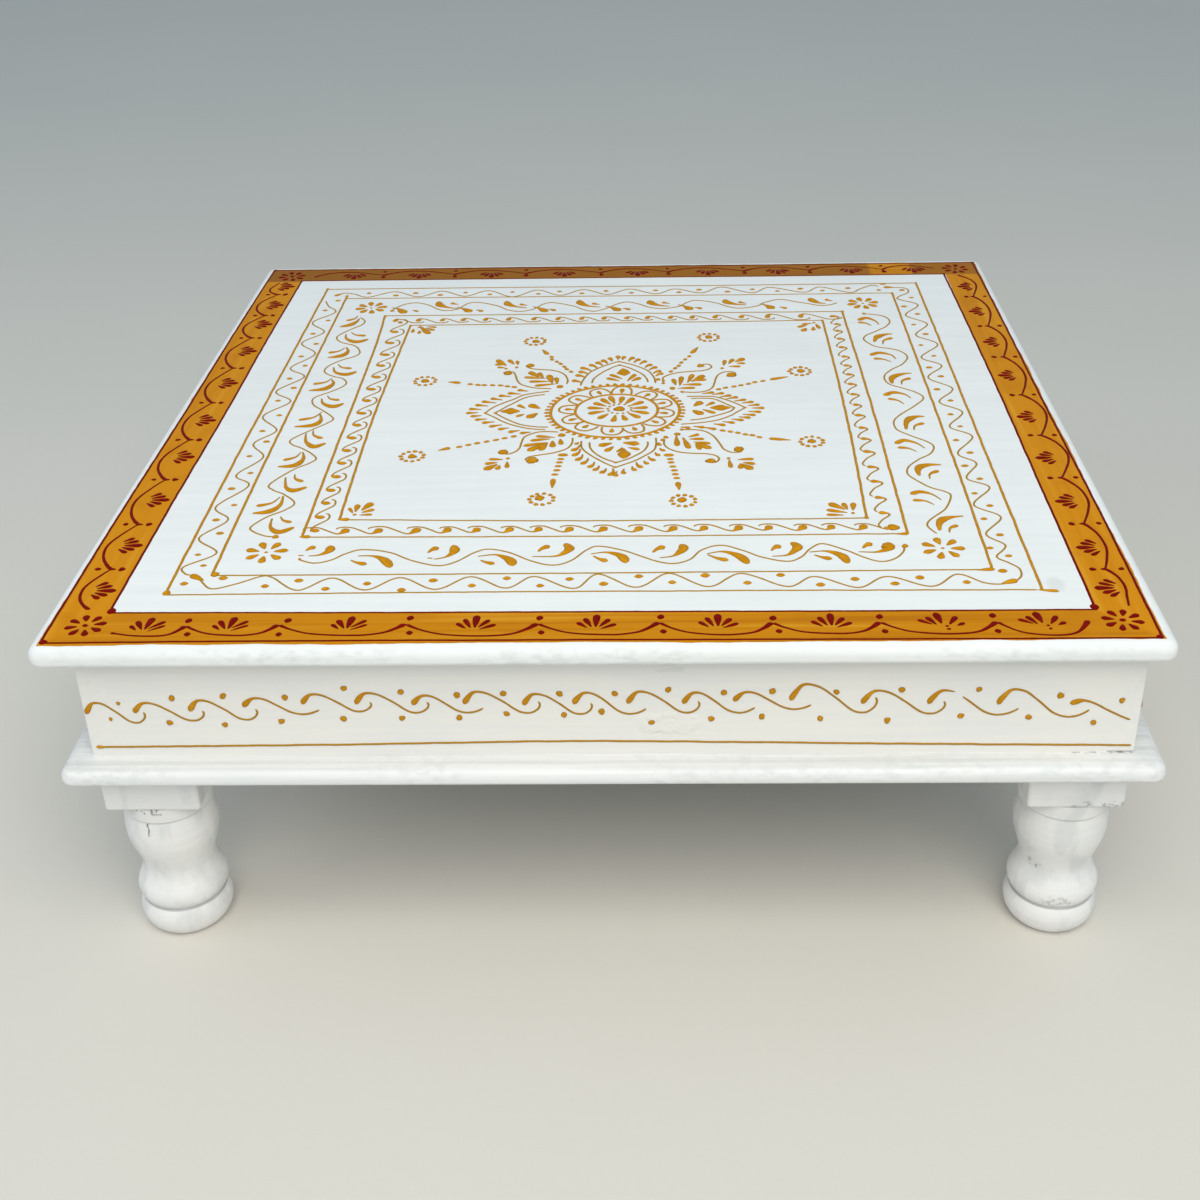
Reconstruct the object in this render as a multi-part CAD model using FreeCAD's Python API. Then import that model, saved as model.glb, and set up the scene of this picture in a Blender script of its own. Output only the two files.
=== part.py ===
import FreeCAD, Part
import os

from FreeCAD import Vector

# A low square table of painted wood. A thin top board lies on a shallow apron box,
# a moulded base frame lies under the box, and four turned legs stand under the frame.
# Sizes are in millimetres. The origin is on the floor under the middle of the table,
# +Z is up and the front faces -Y.

os.makedirs("parts", exist_ok=True)

# Top board. It was set a little to the left of the box, which the uneven overhang shows
top_side = 610.0
top_thick = 12.0
top_corner_radius = 8.0
top_upper_round = 6.5
top_lower_round = 3.5
top_shift = 4.0

# Apron box: side boards run the full depth, front and back boards fit between them
apron_inset = 15.0
apron_height = 67.5
apron_thick = 15.0
apron_corner_round = 1.2

# A thin gap under the end of the right side board, where it doesn't quite meet the base
end_gap_height = 0.7
end_gap_depth = 5.0

# Base frame: front and back rails run the full width, side rails fit between them
base_overhang = 16.0
base_thick = 10.0
base_rail_width = 76.0
base_corner_radius = 8.0
base_upper_round = 6.5
base_lower_round = 2.5

# Legs: a square block, a turned foot below it and a round tenon above it
leg_height = 127.5
leg_side = 55.0
leg_block_height = 29.5
leg_block_round = 2.5
tenon_radius = 8.0
tenon_wall = 4.5
tenon_stop = 10.0

# The turned outline, from the floor up: heights as shares of the turned length, and
# radii as shares of half the leg's side
foot_shares = [(0.0, 0.76), (0.115, 0.99), (0.207, 0.91)]
waist_shares = [(0.222, 0.865), (0.25, 0.935), (0.295, 0.965), (0.34, 0.93), (0.40, 0.83),
                (0.465, 0.78), (0.54, 0.82), (0.63, 0.925), (0.72, 0.98), (0.80, 0.975),
                (0.885, 0.925)]
collar_shares = [(0.90, 0.955), (1.0, 0.96)]

# Blocks inside the box
corner_block_side = 50.0
corner_block_height = 40.0
glue_block_side = 18.0
glue_block_length = 60.0
glue_block_spacing = 240.0

# Nails through the side boards into the ends of the front and back boards
nail_length = 38.0
nail_radius = 1.1
nail_head_radius = 2.2
nail_head_thick = 1.0
nail_point_length = 3.0
nail_edge_distance = 18.0

# Countersunk screws up through the base rails into the apron boards
screw_length = 32.0
screw_radius = 2.0
screw_head_radius = 4.0
screw_head_height = 2.6
screw_point_length = 4.0
screw_slot_width = 1.0
screw_slot_depth = 1.0
screw_spacing = 150.0

# Fits
tenon_clearance = 0.1
fastener_clearance = 0.05
overrun = 2.0
same_place = 0.001

# Worked out from the sizes above
base_bottom = leg_height
apron_bottom = base_bottom + base_thick
top_bottom = apron_bottom + apron_height
apron_side = top_side - 2 * apron_inset
apron_inside = apron_side / 2 - apron_thick
apron_middle = apron_side / 2 - apron_thick / 2
base_side = apron_side + 2 * base_overhang
base_opening = base_side - 2 * base_rail_width
leg_place = apron_inside - tenon_wall - tenon_radius
turned_height = leg_height - leg_block_height
box_place = (top_side / 2 + top_shift - base_side / 2) / 2
top_place = box_place - top_shift
nail_heights = [apron_bottom + nail_edge_distance, top_bottom - nail_edge_distance]
sides = {"front": -1, "back": 1, "left": -1, "right": 1}


def box_between(low, high):
    """A box from its lowest corner to its highest corner."""
    size = high.sub(low)
    return Part.makeBox(size.x, size.y, size.z, low)


def centred_box(centre, length_x, length_y, height):
    """A box centred in plan on a point at its underside."""
    low = Vector(centre.x - length_x / 2, centre.y - length_y / 2, centre.z)
    return Part.makeBox(length_x, length_y, height, low)


def upright_edges(shape):
    """The straight vertical edges of a shape."""
    return [edge for edge in shape.Edges
            if edge.BoundBox.XLength < same_place
            and edge.BoundBox.YLength < same_place]


def edges_at(shape, height):
    """The edges that lie flat at one height."""
    return [edge for edge in shape.Edges
            if abs(edge.BoundBox.ZMin - height) < same_place
            and abs(edge.BoundBox.ZMax - height) < same_place]


def nosed_plate(side, thick, bottom, corner_radius, upper_round, lower_round):
    """A square plate with rounded corners and a rounded nose on all four edges."""
    plate = centred_box(Vector(0, 0, bottom), side, side, thick)
    plate = plate.makeFillet(corner_radius, upright_edges(plate))
    plate = plate.makeFillet(upper_round, edges_at(plate, bottom + thick))
    return plate.makeFillet(lower_round, edges_at(plate, bottom))


def shank(place, direction, length, radius, point_length):
    """A round shank that ends in a point, starting at place."""
    straight = length - point_length
    body = Part.makeCylinder(radius, straight, place, direction)
    point = Part.makeCone(radius, 0, point_length, place + direction * straight, direction)
    return body.fuse(point)


def nail(place, direction, clearance=0):
    """One flat-headed nail, or with a clearance the hole that it sits in."""
    head = Part.makeCylinder(nail_head_radius + clearance, nail_head_thick, place, direction)
    body = shank(place, direction, nail_length + clearance, nail_radius + clearance,
                 nail_point_length)
    return head.fuse(body).removeSplitter()


def screw(place, direction, clearance=0):
    """One countersunk screw, or with a clearance the hole that it sits in."""
    head = Part.makeCone(screw_head_radius + clearance, screw_radius + clearance,
                         screw_head_height, place, direction)
    body = shank(place, direction, screw_length + clearance, screw_radius + clearance,
                 screw_point_length)
    return head.fuse(body).removeSplitter()


def slotted_screw(place, direction):
    """A countersunk screw with a cross slot in its head."""
    slot_length = screw_head_radius
    along = centred_box(place, slot_length, screw_slot_width, screw_slot_depth)
    across = centred_box(place, screw_slot_width, slot_length, screw_slot_depth)
    return screw(place, direction).cut([along, across])


def nail_places():
    """Where each nail's head lies, and the way the nail points."""
    places = []
    for side_x in (-1, 1):
        for side_y in (-1, 1):
            for height in nail_heights:
                place = Vector(side_x * apron_side / 2, side_y * apron_middle, height)
                places.append((place, Vector(-side_x, 0, 0)))
    return places


def screw_places():
    """Where each base screw's head lies. They all point up."""
    places = []
    for step in (-1, 0, 1):
        for side in (-1, 1):
            places.append(Vector(step * screw_spacing, side * apron_middle, base_bottom))
            places.append(Vector(side * apron_middle, step * screw_spacing, base_bottom))
    return places


def fastener_holes():
    """Every nail hole and screw hole, to be cut from the boards."""
    holes = [nail(place, way, fastener_clearance) for place, way in nail_places()]
    up = Vector(0, 0, 1)
    holes += [screw(place, up, fastener_clearance) for place in screw_places()]
    return holes


def tenon_holes():
    """The round holes for the leg tenons, through the base and the corner blocks."""
    radius = tenon_radius + tenon_clearance
    height = base_thick + corner_block_height + 2 * overrun
    return [Part.makeCylinder(radius, height, Vector(x, y, base_bottom - overrun))
            for x in (-leg_place, leg_place) for y in (-leg_place, leg_place)]


def top_board():
    """The painted top, one board with a rounded nose."""
    return nosed_plate(top_side, top_thick, top_bottom,
                       top_corner_radius, top_upper_round, top_lower_round)


def side_apron(side):
    """A left or right apron board, the full depth of the box."""
    centre = Vector(side * apron_middle, 0, apron_bottom)
    board = centred_box(centre, apron_thick, apron_side, apron_height)
    outer = [edge for edge in upright_edges(board)
             if abs(edge.BoundBox.XMin - side * apron_side / 2) < same_place]
    return board.makeFillet(apron_corner_round, outer)


def apron_end_gap():
    """The thin gap under the front end of the right side board."""
    low = Vector(apron_inside - overrun, -apron_side / 2 - overrun, apron_bottom - overrun)
    high = Vector(apron_side / 2 + overrun, -apron_side / 2 + end_gap_depth,
                  apron_bottom + end_gap_height)
    return box_between(low, high)


def cross_apron(side):
    """A front or back apron board, between the side boards."""
    centre = Vector(0, side * apron_middle, apron_bottom)
    return centred_box(centre, 2 * apron_inside, apron_thick, apron_height)


def base_frame():
    """The whole base frame before it is divided into rails."""
    plate = nosed_plate(base_side, base_thick, base_bottom,
                        base_corner_radius, base_upper_round, base_lower_round)
    opening = centred_box(Vector(0, 0, base_bottom - overrun), base_opening,
                          base_opening, base_thick + 2 * overrun)
    return plate.cut(opening)


def cross_rail(frame, side):
    """A front or back base rail, the full width of the frame."""
    centre = Vector(0, side * (base_side - base_rail_width) / 2, base_bottom)
    return frame.common(centred_box(centre, base_side, base_rail_width, base_thick))


def side_rail(frame, side):
    """A left or right base rail, between the front and back rails."""
    centre = Vector(side * (base_side - base_rail_width) / 2, 0, base_bottom)
    return frame.common(centred_box(centre, base_rail_width, base_opening, base_thick))


def outline_point(shares):
    """A point of the turned outline, in the XZ plane."""
    height_share, radius_share = shares
    return Vector(radius_share * leg_side / 2, 0, height_share * turned_height)


def turned_foot():
    """The turned part of a leg: a round foot, a groove, a ring, a waist, a bulb and a collar."""
    foot = [outline_point(shares) for shares in foot_shares]
    waist = [outline_point(shares) for shares in waist_shares]
    collar = [outline_point(shares) for shares in collar_shares]
    bulb = Part.BSplineCurve()
    bulb.interpolate(waist)
    axis_top = Vector(0, 0, turned_height)
    edges = [Part.LineSegment(Vector(0, 0, 0), foot[0]).toShape(),
             Part.Arc(*foot).toShape(),
             Part.LineSegment(foot[-1], waist[0]).toShape(),
             bulb.toShape(),
             Part.LineSegment(waist[-1], collar[0]).toShape(),
             Part.LineSegment(collar[0], collar[1]).toShape(),
             Part.LineSegment(collar[1], axis_top).toShape(),
             Part.LineSegment(axis_top, Vector(0, 0, 0)).toShape()]
    outline = Part.Face(Part.Wire(edges))
    return outline.revolve(Vector(0, 0, 0), Vector(0, 0, 1), 360)


def leg():
    """One leg, standing on the origin: turned foot, square block and round tenon."""
    block = centred_box(Vector(0, 0, turned_height), leg_side, leg_side, leg_block_height)
    soft_edges = upright_edges(block) + edges_at(block, turned_height)
    block = block.makeFillet(leg_block_round, soft_edges)
    tenon_height = base_thick + corner_block_height - tenon_stop
    tenon = Part.makeCylinder(tenon_radius, tenon_height, Vector(0, 0, leg_height))
    return turned_foot().fuse([block, tenon]).removeSplitter()


def corner_block(side_x, side_y):
    """A block in a corner of the box, bored for a leg's tenon."""
    middle = apron_inside - corner_block_side / 2
    centre = Vector(side_x * middle, side_y * middle, apron_bottom)
    block = centred_box(centre, corner_block_side, corner_block_side, corner_block_height)
    return block.cut(tenon_holes())


def glue_block(face, along):
    """A small block under the top, against the inside of one apron board."""
    across = apron_inside - glue_block_side / 2
    bottom = top_bottom - glue_block_side
    away = sides[face] * across
    slide = sides[along] * glue_block_spacing / 2
    if face in ("front", "back"):
        return centred_box(Vector(slide, away, bottom), glue_block_length,
                           glue_block_side, glue_block_side)
    return centred_box(Vector(away, slide, bottom), glue_block_side,
                       glue_block_length, glue_block_side)


def save(name, shape, place=box_place):
    """Write one sub-part to its own file, moved to its place across the table."""
    shape.translate(Vector(place, 0, 0))
    shape.exportStep("parts/" + name + ".step")


holes = fastener_holes()
save("top_board", top_board(), top_place)
save("apron_left", side_apron(sides["left"]).cut(holes))
save("apron_right", side_apron(sides["right"]).cut(holes + [apron_end_gap()]))
save("apron_front", cross_apron(sides["front"]).cut(holes))
save("apron_back", cross_apron(sides["back"]).cut(holes))

bored_frame = base_frame().cut(holes + tenon_holes())
save("base_front", cross_rail(bored_frame, sides["front"]))
save("base_back", cross_rail(bored_frame, sides["back"]))
save("base_left", side_rail(bored_frame, sides["left"]))
save("base_right", side_rail(bored_frame, sides["right"]))

for row in ("front", "back"):
    for column in ("left", "right"):
        corner = row + "_" + column
        standing_leg = leg()
        standing_leg.translate(Vector(sides[column] * leg_place, sides[row] * leg_place, 0))
        save("leg_" + corner, standing_leg)
        save("corner_block_" + corner, corner_block(sides[column], sides[row]))
        save("glue_block_" + corner, glue_block(row, column))
        save("glue_block_" + column + "_" + row, glue_block(column, row))

nails = [nail(place, way) for place, way in nail_places()]
save("apron_nails", Part.makeCompound(nails))
screws = [slotted_screw(place, Vector(0, 0, 1)) for place in screw_places()]
save("base_screws", Part.makeCompound(screws))
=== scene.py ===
import math

import bpy
from mathutils import Matrix, Vector


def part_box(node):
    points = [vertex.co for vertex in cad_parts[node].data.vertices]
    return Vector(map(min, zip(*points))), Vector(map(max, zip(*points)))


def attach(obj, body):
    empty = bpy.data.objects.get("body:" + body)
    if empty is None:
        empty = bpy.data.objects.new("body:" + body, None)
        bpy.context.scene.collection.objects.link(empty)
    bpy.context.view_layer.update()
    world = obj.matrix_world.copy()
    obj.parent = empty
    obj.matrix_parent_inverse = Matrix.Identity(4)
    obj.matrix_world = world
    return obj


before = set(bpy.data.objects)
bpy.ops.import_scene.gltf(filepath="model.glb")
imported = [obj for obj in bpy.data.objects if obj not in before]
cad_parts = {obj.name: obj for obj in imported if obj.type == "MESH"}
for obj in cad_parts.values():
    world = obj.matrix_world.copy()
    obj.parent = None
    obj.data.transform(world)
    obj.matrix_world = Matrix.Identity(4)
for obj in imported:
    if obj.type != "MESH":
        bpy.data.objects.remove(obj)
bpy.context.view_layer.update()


# Legs: four short hardwood legs, each a square block over a turned foot in one piece,
# glued by a tenon into its corner block. They are brush painted in satin white, with
# the brush running round the turned part, and the front left one has a crack in its paint.


class Tone:
    """A value that changes over a painted or wooden surface. Sums of it add Math nodes."""

    def __init__(self, finish, socket):
        self.finish = finish
        self.socket = socket

    def worked(self, operation, *values):
        return self.finish.add("Math", {"operation": operation}, dict(enumerate(values)))

    def __add__(self, other):
        return self.worked("ADD", self, other)

    def __sub__(self, other):
        return self.worked("SUBTRACT", self, other)

    def __mul__(self, other):
        return self.worked("MULTIPLY", self, other)

    def __truediv__(self, other):
        return self.worked("DIVIDE", self, other)

    def __rsub__(self, other):
        return self.worked("SUBTRACT", other, self)

    __radd__ = __add__
    __rmul__ = __mul__

    def size(self):
        return self.worked("ABSOLUTE", self)

    def more(self, other):
        return self.worked("MAXIMUM", self, other)

    def rise(self, start, end):
        """0 below start, 1 past end, and smooth between them. It falls where end is the lower."""
        limits = {"Value": self, "From Min": start, "From Max": end}
        return self.finish.add("MapRange", {"interpolation_type": "SMOOTHSTEP"}, limits)

    def window(self, start, full, ebb, end):
        """Rises from start to full, stays at 1, and falls from ebb to end."""
        return self.rise(start, full) * self.rise(end, ebb)

    def near(self, level, outer, inner):
        """1 within inner of a level, and 0 farther than outer from it."""
        return (self - level).size().rise(outer, inner)


class Finish:
    """One paint, wood or metal: a material whose nodes are added one at a time."""

    def __init__(self, name):
        self.material = bpy.data.materials.new(name)
        self.material.use_nodes = True
        self.tree = self.material.node_tree
        self.shader = self.tree.nodes["Principled BSDF"]

    def put(self, socket, value):
        if isinstance(value, Tone):
            self.tree.links.new(value.socket, socket)
        else:
            socket.default_value = value

    def add(self, kind, settings, inputs, result=0):
        node = self.tree.nodes.new("ShaderNode" + kind)
        for setting, value in settings.items():
            setattr(node, setting, value)
        for socket, value in inputs.items():
            self.put(node.inputs[socket], value)
        return Tone(self, node.outputs[result])

    def grain(self, place, per_metre, detail, seed):
        """Noise with its own number of features to the metre in each direction."""
        moved = {"Vector": place, "Location": (seed, 2.7 * seed, 1.3 * seed), "Scale": per_metre}
        stretched = self.add("Mapping", {}, moved)
        return self.add("TexNoise", {}, {"Vector": stretched, "Scale": 1.0, "Detail": detail})

    def blend(self, share, first, second):
        """A colour between two others."""
        return self.add("Mix", {"data_type": "RGBA"}, {0: share, 6: first, 7: second}, 2)

    def along(self, place):
        """The three coordinates of a place, each a tone in metres."""
        parts = self.add("SeparateXYZ", {}, {0: place}).socket.node.outputs
        return [Tone(self, part) for part in parts]

    def dress(self, colour, roughness, height, depth):
        """Sends the finish to the shader. Depth is how far the height stands out, in metres."""
        bump = {"Height": height, "Distance": depth, "Strength": 1.0}
        self.put(self.shader.inputs["Base Color"], colour)
        self.put(self.shader.inputs["Roughness"], roughness)
        self.put(self.shader.inputs["Normal"], self.add("Bump", {}, bump))


def white_paint(name, brush, seed, extra=None, shine=0.5, white=(0.89, 0.895, 0.89, 1)):
    """Satin white brushed on wood. Brush is how fine its marks are in x, y and z."""
    thin_coat = (0.79, 0.80, 0.80, 1)
    speck_grey = (0.42, 0.41, 0.40, 1)
    finish = Finish(name)
    place = finish.add("TexCoord", {}, {}, "Object")
    marks = finish.grain(place, brush, 4, seed)
    patches = finish.grain(place, (16, 16, 16), 3, seed + 3)
    skin = finish.grain(place, (420, 420, 420), 2, seed + 5)
    cells = {"Vector": place, "Scale": 42.0}
    speck = finish.add("TexVoronoi", {}, cells, "Distance").rise(0.020, 0.009)
    speck = speck * finish.grain(place, (9, 9, 9), 1, seed + 7).rise(0.50, 0.60)
    shade = (marks * 0.55 + patches * 0.45).rise(0.66, 0.36)
    colour = finish.blend(shade * 0.42, white, thin_coat)
    colour = finish.blend(speck * 0.75, colour, speck_grey)
    height = marks * 0.55 + patches * 0.6 + skin * 0.16 - speck * 0.5
    roughness = 0.31 + patches * 0.16 + marks * 0.10
    if extra:
        colour, roughness, height = extra(finish, place, colour, roughness, height)
    finish.shader.inputs["Specular IOR Level"].default_value = shine
    finish.dress(colour, roughness, height, 0.00022)
    return finish.material


def paint_nodes(paint, *names):
    """Puts a paint on each of these pieces."""
    for name in names:
        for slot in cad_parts[name].material_slots:
            slot.material = paint


leg_brush = (26, 26, 520)
# Painted light: the legs' white is warmer and brighter than the board's, standing in for light bounced from
# a brown floor.
leg_bounce_white = (0.925, 0.895, 0.872, 1)
dab_grey = (0.60, 0.61, 0.615, 1)
crack_grey = (0.16, 0.15, 0.145, 1)
# A grey for painted shade in the legs' grooves, and for real wear and joint grime elsewhere.
grime_and_shade_grey = (0.34, 0.335, 0.33, 1)
block_bottom = 0.098
collar_level = 0.0880
ring_level = 0.0275
groove_level = 0.0211


def brushed_leg(finish, place, colour, roughness, height):
    """Dabs of the brush, and painted shade in the groove, under the collar and below the block."""
    across, depth, up = finish.along(place)
    dabs = finish.grain(place, (70, 70, 34), 3, 5.9)
    lumps = finish.grain(place, (230, 230, 150), 3, 8.2)
    colour = finish.blend(dabs.rise(0.46, 0.68) * 0.42, colour, dab_grey)
    ragged = finish.grain(place, (90, 90, 90), 2, 1.7)
    # Painted shade: grey in the ring groove, in the line under the collar and along the seam below the
    # block.
    groove = up.near(groove_level, 0.0010, 0.0003) * (0.7 + ragged * 0.5)
    collar = up.near(collar_level, 0.0008, 0.0001) * 0.55
    seam = up.near(block_bottom - 0.0002, 0.0005, 0.0001) * 0.45
    groove_shade = groove.more(collar).more(seam)
    colour = finish.blend(groove_shade * 0.72, colour, grime_and_shade_grey)
    return colour, roughness + groove_shade * 0.2, height + dabs * 0.8 + lumps * 0.7 - groove_shade * 0.4


def front_of(depth, nearest):
    """1 on the front of a leg, from its nearest place, and 0 towards its back."""
    return depth.rise(nearest + 0.030, nearest + 0.024)


def cracked(finish, place, colour, roughness, height):
    """A short crack that runs down from the collar, and dry flakes above it."""
    colour, roughness, height = brushed_leg(finish, place, colour, roughness, height)
    across, depth, up = finish.along(place)
    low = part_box("leg_front_left")[0]
    crack_x = low.x + 0.0222
    crack_top = collar_level - 0.0010
    crack_end = collar_level - 0.0085
    aside = across - crack_x - finish.grain(place, (160, 160, 160), 2, 4.1) * 0.006
    line = (aside + 0.003).size().rise(0.00055, 0.00020)
    line = line * up.window(crack_end - 0.0020, crack_end, crack_top, collar_level)
    chipped = (aside + 0.0022).size().rise(0.0014, 0.0008)
    chipped = chipped * up.window(crack_end - 0.0015, crack_end + 0.0005, crack_top, collar_level)
    flakes = finish.grain(place, (430, 430, 430), 2, 6.3).rise(0.56, 0.62)
    flakes = flakes * up.rise(block_bottom - 0.0050, block_bottom - 0.0030)
    flakes = flakes * across.near(crack_x + 0.002, 0.010, 0.006)
    worn = line.more(flakes * 0.8) * front_of(depth, low.y)
    worn = worn * up.rise(block_bottom + 0.0002, block_bottom - 0.0002)
    colour = finish.blend(worn * 0.85, colour, crack_grey)
    return colour, roughness + worn * 0.2, height + chipped * 1.2 - worn * 1.5


def scuffed(finish, place, colour, roughness, height):
    """Chips along the lower edge of the block, and rough spots on the ring and the waist."""
    colour, roughness, height = brushed_leg(finish, place, colour, roughness, height)
    across, depth, up = finish.along(place)
    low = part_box("leg_front_right")[0]
    low_edge = block_bottom - 0.0002
    waist_level = 0.0480
    grit = finish.grain(place, (330, 330, 330), 3, 7.4).rise(0.51, 0.60)
    edge = up.window(low_edge, low_edge + 0.0008, low_edge + 0.0032, low_edge + 0.0064)
    edge = edge * across.rise(low.x + 0.016, low.x + 0.030)
    ring = up.near(ring_level, 0.0060, 0.0020) * across.near(low.x + 0.026, 0.012, 0.005)
    waist = up.near(waist_level, 0.0040, 0.0015) * across.near(low.x + 0.012, 0.004, 0.002)
    worn = grit * edge.more(ring * 0.7).more(waist) * front_of(depth, low.y)
    colour = finish.blend(worn * 0.6, colour, grime_and_shade_grey)
    return colour, roughness + worn * 0.2, height - worn * 1.2


leg_seeds_and_wear = {
    "leg_back_left": (14.0, brushed_leg),
    "leg_back_right": (15.0, brushed_leg),
    "leg_front_left": (2.0, cracked),
    "leg_front_right": (16.0, scuffed),
}
for leg, (seed, wear) in leg_seeds_and_wear.items():
    paint_nodes(white_paint(leg + "_paint", leg_brush, seed, wear, white=leg_bounce_white), leg)


# Base frame: four moulded rails of the same outline as the top, the front and back ones
# running the full width and the side ones fitted between them. Painted along each rail.
# Their rounded noses are rubbed to a dirty grey in places.

# A grey for rubbed wear and scuffs, and for painted shade on the upper faces of the base rails.
wear_and_shade_grey = (0.60, 0.61, 0.60, 1)


def rubbed(finish, place, colour, roughness, height):
    """Handling marks: soft grey scuffs in a few patches, and a lumpy coat with small dents."""
    patch = finish.grain(place, (13, 13, 40), 2, 8.8).rise(0.40, 0.62)
    scuff = finish.grain(place, (150, 150, 330), 3, 9.4).rise(0.42, 0.66)
    worn = patch * scuff
    dents = finish.grain(place, (95, 95, 95), 2, 3.3).rise(0.60, 0.76)
    lumps = finish.grain(place, (210, 210, 210), 3, 4.6)
    colour = finish.blend(worn * 0.34, colour, wear_and_shade_grey)
    return colour, roughness + worn * 0.12, height + lumps * 0.9 - dents * 0.7


def rail_wear(stretch):
    """Rubbed noses, an upper face greyed as painted shade together with the streaks of the brush, and grime
    at one joint.
    """

    def worn_rail(finish, place, colour, roughness, height):
        across, depth, up = finish.along(place)
        low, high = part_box("base_front")
        joint_depth = low.y + 0.0157
        streak = finish.grain(place, stretch, 4, 12.5)
        # Painted shade: the rail's upper face is greyed more than its other faces, mixed with the streaks of
        # the brush.
        upper = up.rise(high.z - 0.0022, high.z - 0.0004)
        dust = (0.34 + streak.rise(0.42, 0.66) * 0.36) * (0.35 + upper * 0.65)
        colour = finish.blend(dust, colour, wear_and_shade_grey)
        crumbs = finish.grain(place, (230, 400, 400), 2, 3.1).rise(0.47, 0.56)
        joint = depth.near(joint_depth, 0.0016, 0.0006)
        joint = joint * across.window(high.x - 0.056, high.x - 0.046, high.x - 0.018, high.x - 0.015)
        colour = finish.blend(joint * crumbs * upper * 0.9, colour, grime_and_shade_grey)
        return rubbed(finish, place, colour, roughness, height + streak * 1.2)

    return worn_rail


rail_white = (0.905, 0.890, 0.890, 1)
wear_across, wear_inwards = rail_wear((7, 260, 260)), rail_wear((260, 7, 260))
paint_across = white_paint("painted_across", (10, 330, 330), 3.0, wear_across, white=rail_white)
paint_inwards = white_paint("painted_inwards", (330, 10, 330), 5.0, wear_inwards, white=rail_white)
paint_nodes(paint_across, "base_front", "base_back")
paint_nodes(paint_inwards, "base_left", "base_right")


# Apron box: four thin boards on edge that stand on the base frame and carry the top.
# The side boards run the full depth and the front and back ones are nailed in between.
# The same white paint, tinted warm as painted light bounced from a brown floor, with a rough patch of filler
# near the middle.


def oval(across, up, middle, half_width, half_height):
    """0 at the middle of an oval, 1 at its edge, and more outside it."""
    wide = (across - middle[0]) / half_width
    tall = (up - middle[1]) / half_height
    return wide * wide + tall * tall


def filled(finish, place, colour, roughness, height):
    """A rough patch of filler below the scrolls, and a scraped spot under the top."""
    across, depth, up = finish.along(place)
    patch_middle, scrape_middle = (0.035, 0.158), (0.035, 0.1935)
    ragged = finish.grain(place, (120, 120, 120), 2, 7.0)
    patch = (oval(across, up, patch_middle, 0.019, 0.008) + ragged * 1.6).rise(1.9, 1.3)
    lumps = finish.grain(place, (310, 310, 310), 3, 2.2)
    grit = lumps.rise(0.60, 0.70) * patch
    scrape = (oval(across, up, scrape_middle, 0.010, 0.0030) + ragged * 1.2).rise(1.6, 1.0)
    scrape = scrape * finish.grain(place, (60, 300, 600), 2, 5.5).rise(0.42, 0.56)
    worn = grit * 0.20 + scrape * 0.30
    colour = finish.blend(worn, colour, wear_and_shade_grey)
    return colour, roughness + worn * 0.2, height + lumps * patch * 3.4


# Painted light: the apron's white is tinted cream to stand in for warm light bounced from a brown floor.
apron_bounce_white = (0.912, 0.874, 0.822, 1)
brush_across, brush_inwards = (12, 260, 260), (260, 12, 260)
apron_front = white_paint("apron_front_paint", brush_across, 6.0, filled, white=apron_bounce_white)
apron_back = white_paint("apron_back_paint", brush_across, 7.0, white=apron_bounce_white)
apron_side = white_paint("apron_side_paint", brush_inwards, 8.0, white=apron_bounce_white)
paint_nodes(apron_front, "apron_front")
paint_nodes(apron_back, "apron_back")
paint_nodes(apron_side, "apron_left", "apron_right")


# Blocks: square corner blocks, bored for the tenons of the legs, and eight glue blocks
# that hold the top. Sawn hardwood, left bare inside the box.


def sawn_wood(name, along, seed):
    """Bare hardwood with its grain running along x, y or z, and saw marks across it."""
    pale = (0.56, 0.38, 0.21, 1)
    dark = (0.33, 0.19, 0.09, 1)
    finish = Finish(name)
    place = finish.add("TexCoord", {}, {}, "Object")
    stretch = [90.0, 90.0, 90.0]
    stretch[along] = 6.0
    figure = finish.grain(place, stretch, 3, seed)
    bands = (figure * 9.0).worked("SINE", figure * 42.0) * 0.5 + 0.5
    pores = finish.grain(place, [side * 9 for side in stretch], 2, seed + 2).rise(0.56, 0.66)
    saw = [20.0, 20.0, 20.0]
    saw[along] = 700.0
    kerf = finish.grain(place, saw, 1, seed + 4)
    colour = finish.blend(bands * 0.55 + pores * 0.35, pale, dark)
    finish.dress(colour, 0.62 + figure * 0.2, kerf * 0.8 - pores * 0.8 + figure * 0.3, 0.0003)
    return finish.material


for number, node in enumerate(sorted(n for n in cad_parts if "block" in n)):
    runs_across = node.split("_")[2] in ("front", "back")
    grain_runs = 2 if node.startswith("corner") else 0 if runs_across else 1
    paint_nodes(sawn_wood(node + "_wood", grain_runs, 1.0 + number * 0.7), node)


# Nails and screws: eight nails through the side boards into the front and back ones, and
# twelve countersunk screws up through the base rails. Plain steel, a little dull.


def dull_steel():
    """Plain steel with patches of tarnish, and fine marks from turning."""
    bright = (0.58, 0.58, 0.585, 1)
    tarnish = (0.33, 0.315, 0.30, 1)
    finish = Finish("dull_steel")
    place = finish.add("TexCoord", {}, {}, "Object")
    stain = finish.grain(place, (420, 420, 420), 3, 1.5)
    turned = finish.grain(place, (900, 900, 3200), 2, 4.5)
    finish.shader.inputs["Metallic"].default_value = 1.0
    colour = finish.blend(stain.rise(0.45, 0.65), bright, tarnish)
    finish.dress(colour, 0.30 + stain * 0.25, turned, 0.00005)
    return finish.material


paint_nodes(dull_steel(), "apron_nails", "base_screws")


# Top board: one square board with a rounded nose, white like the rest, with an ochre band
# brushed round its edge. The brush ran along each side, so the band shows long streaks,
# and its outer edge wavers because no tape was used.

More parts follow.
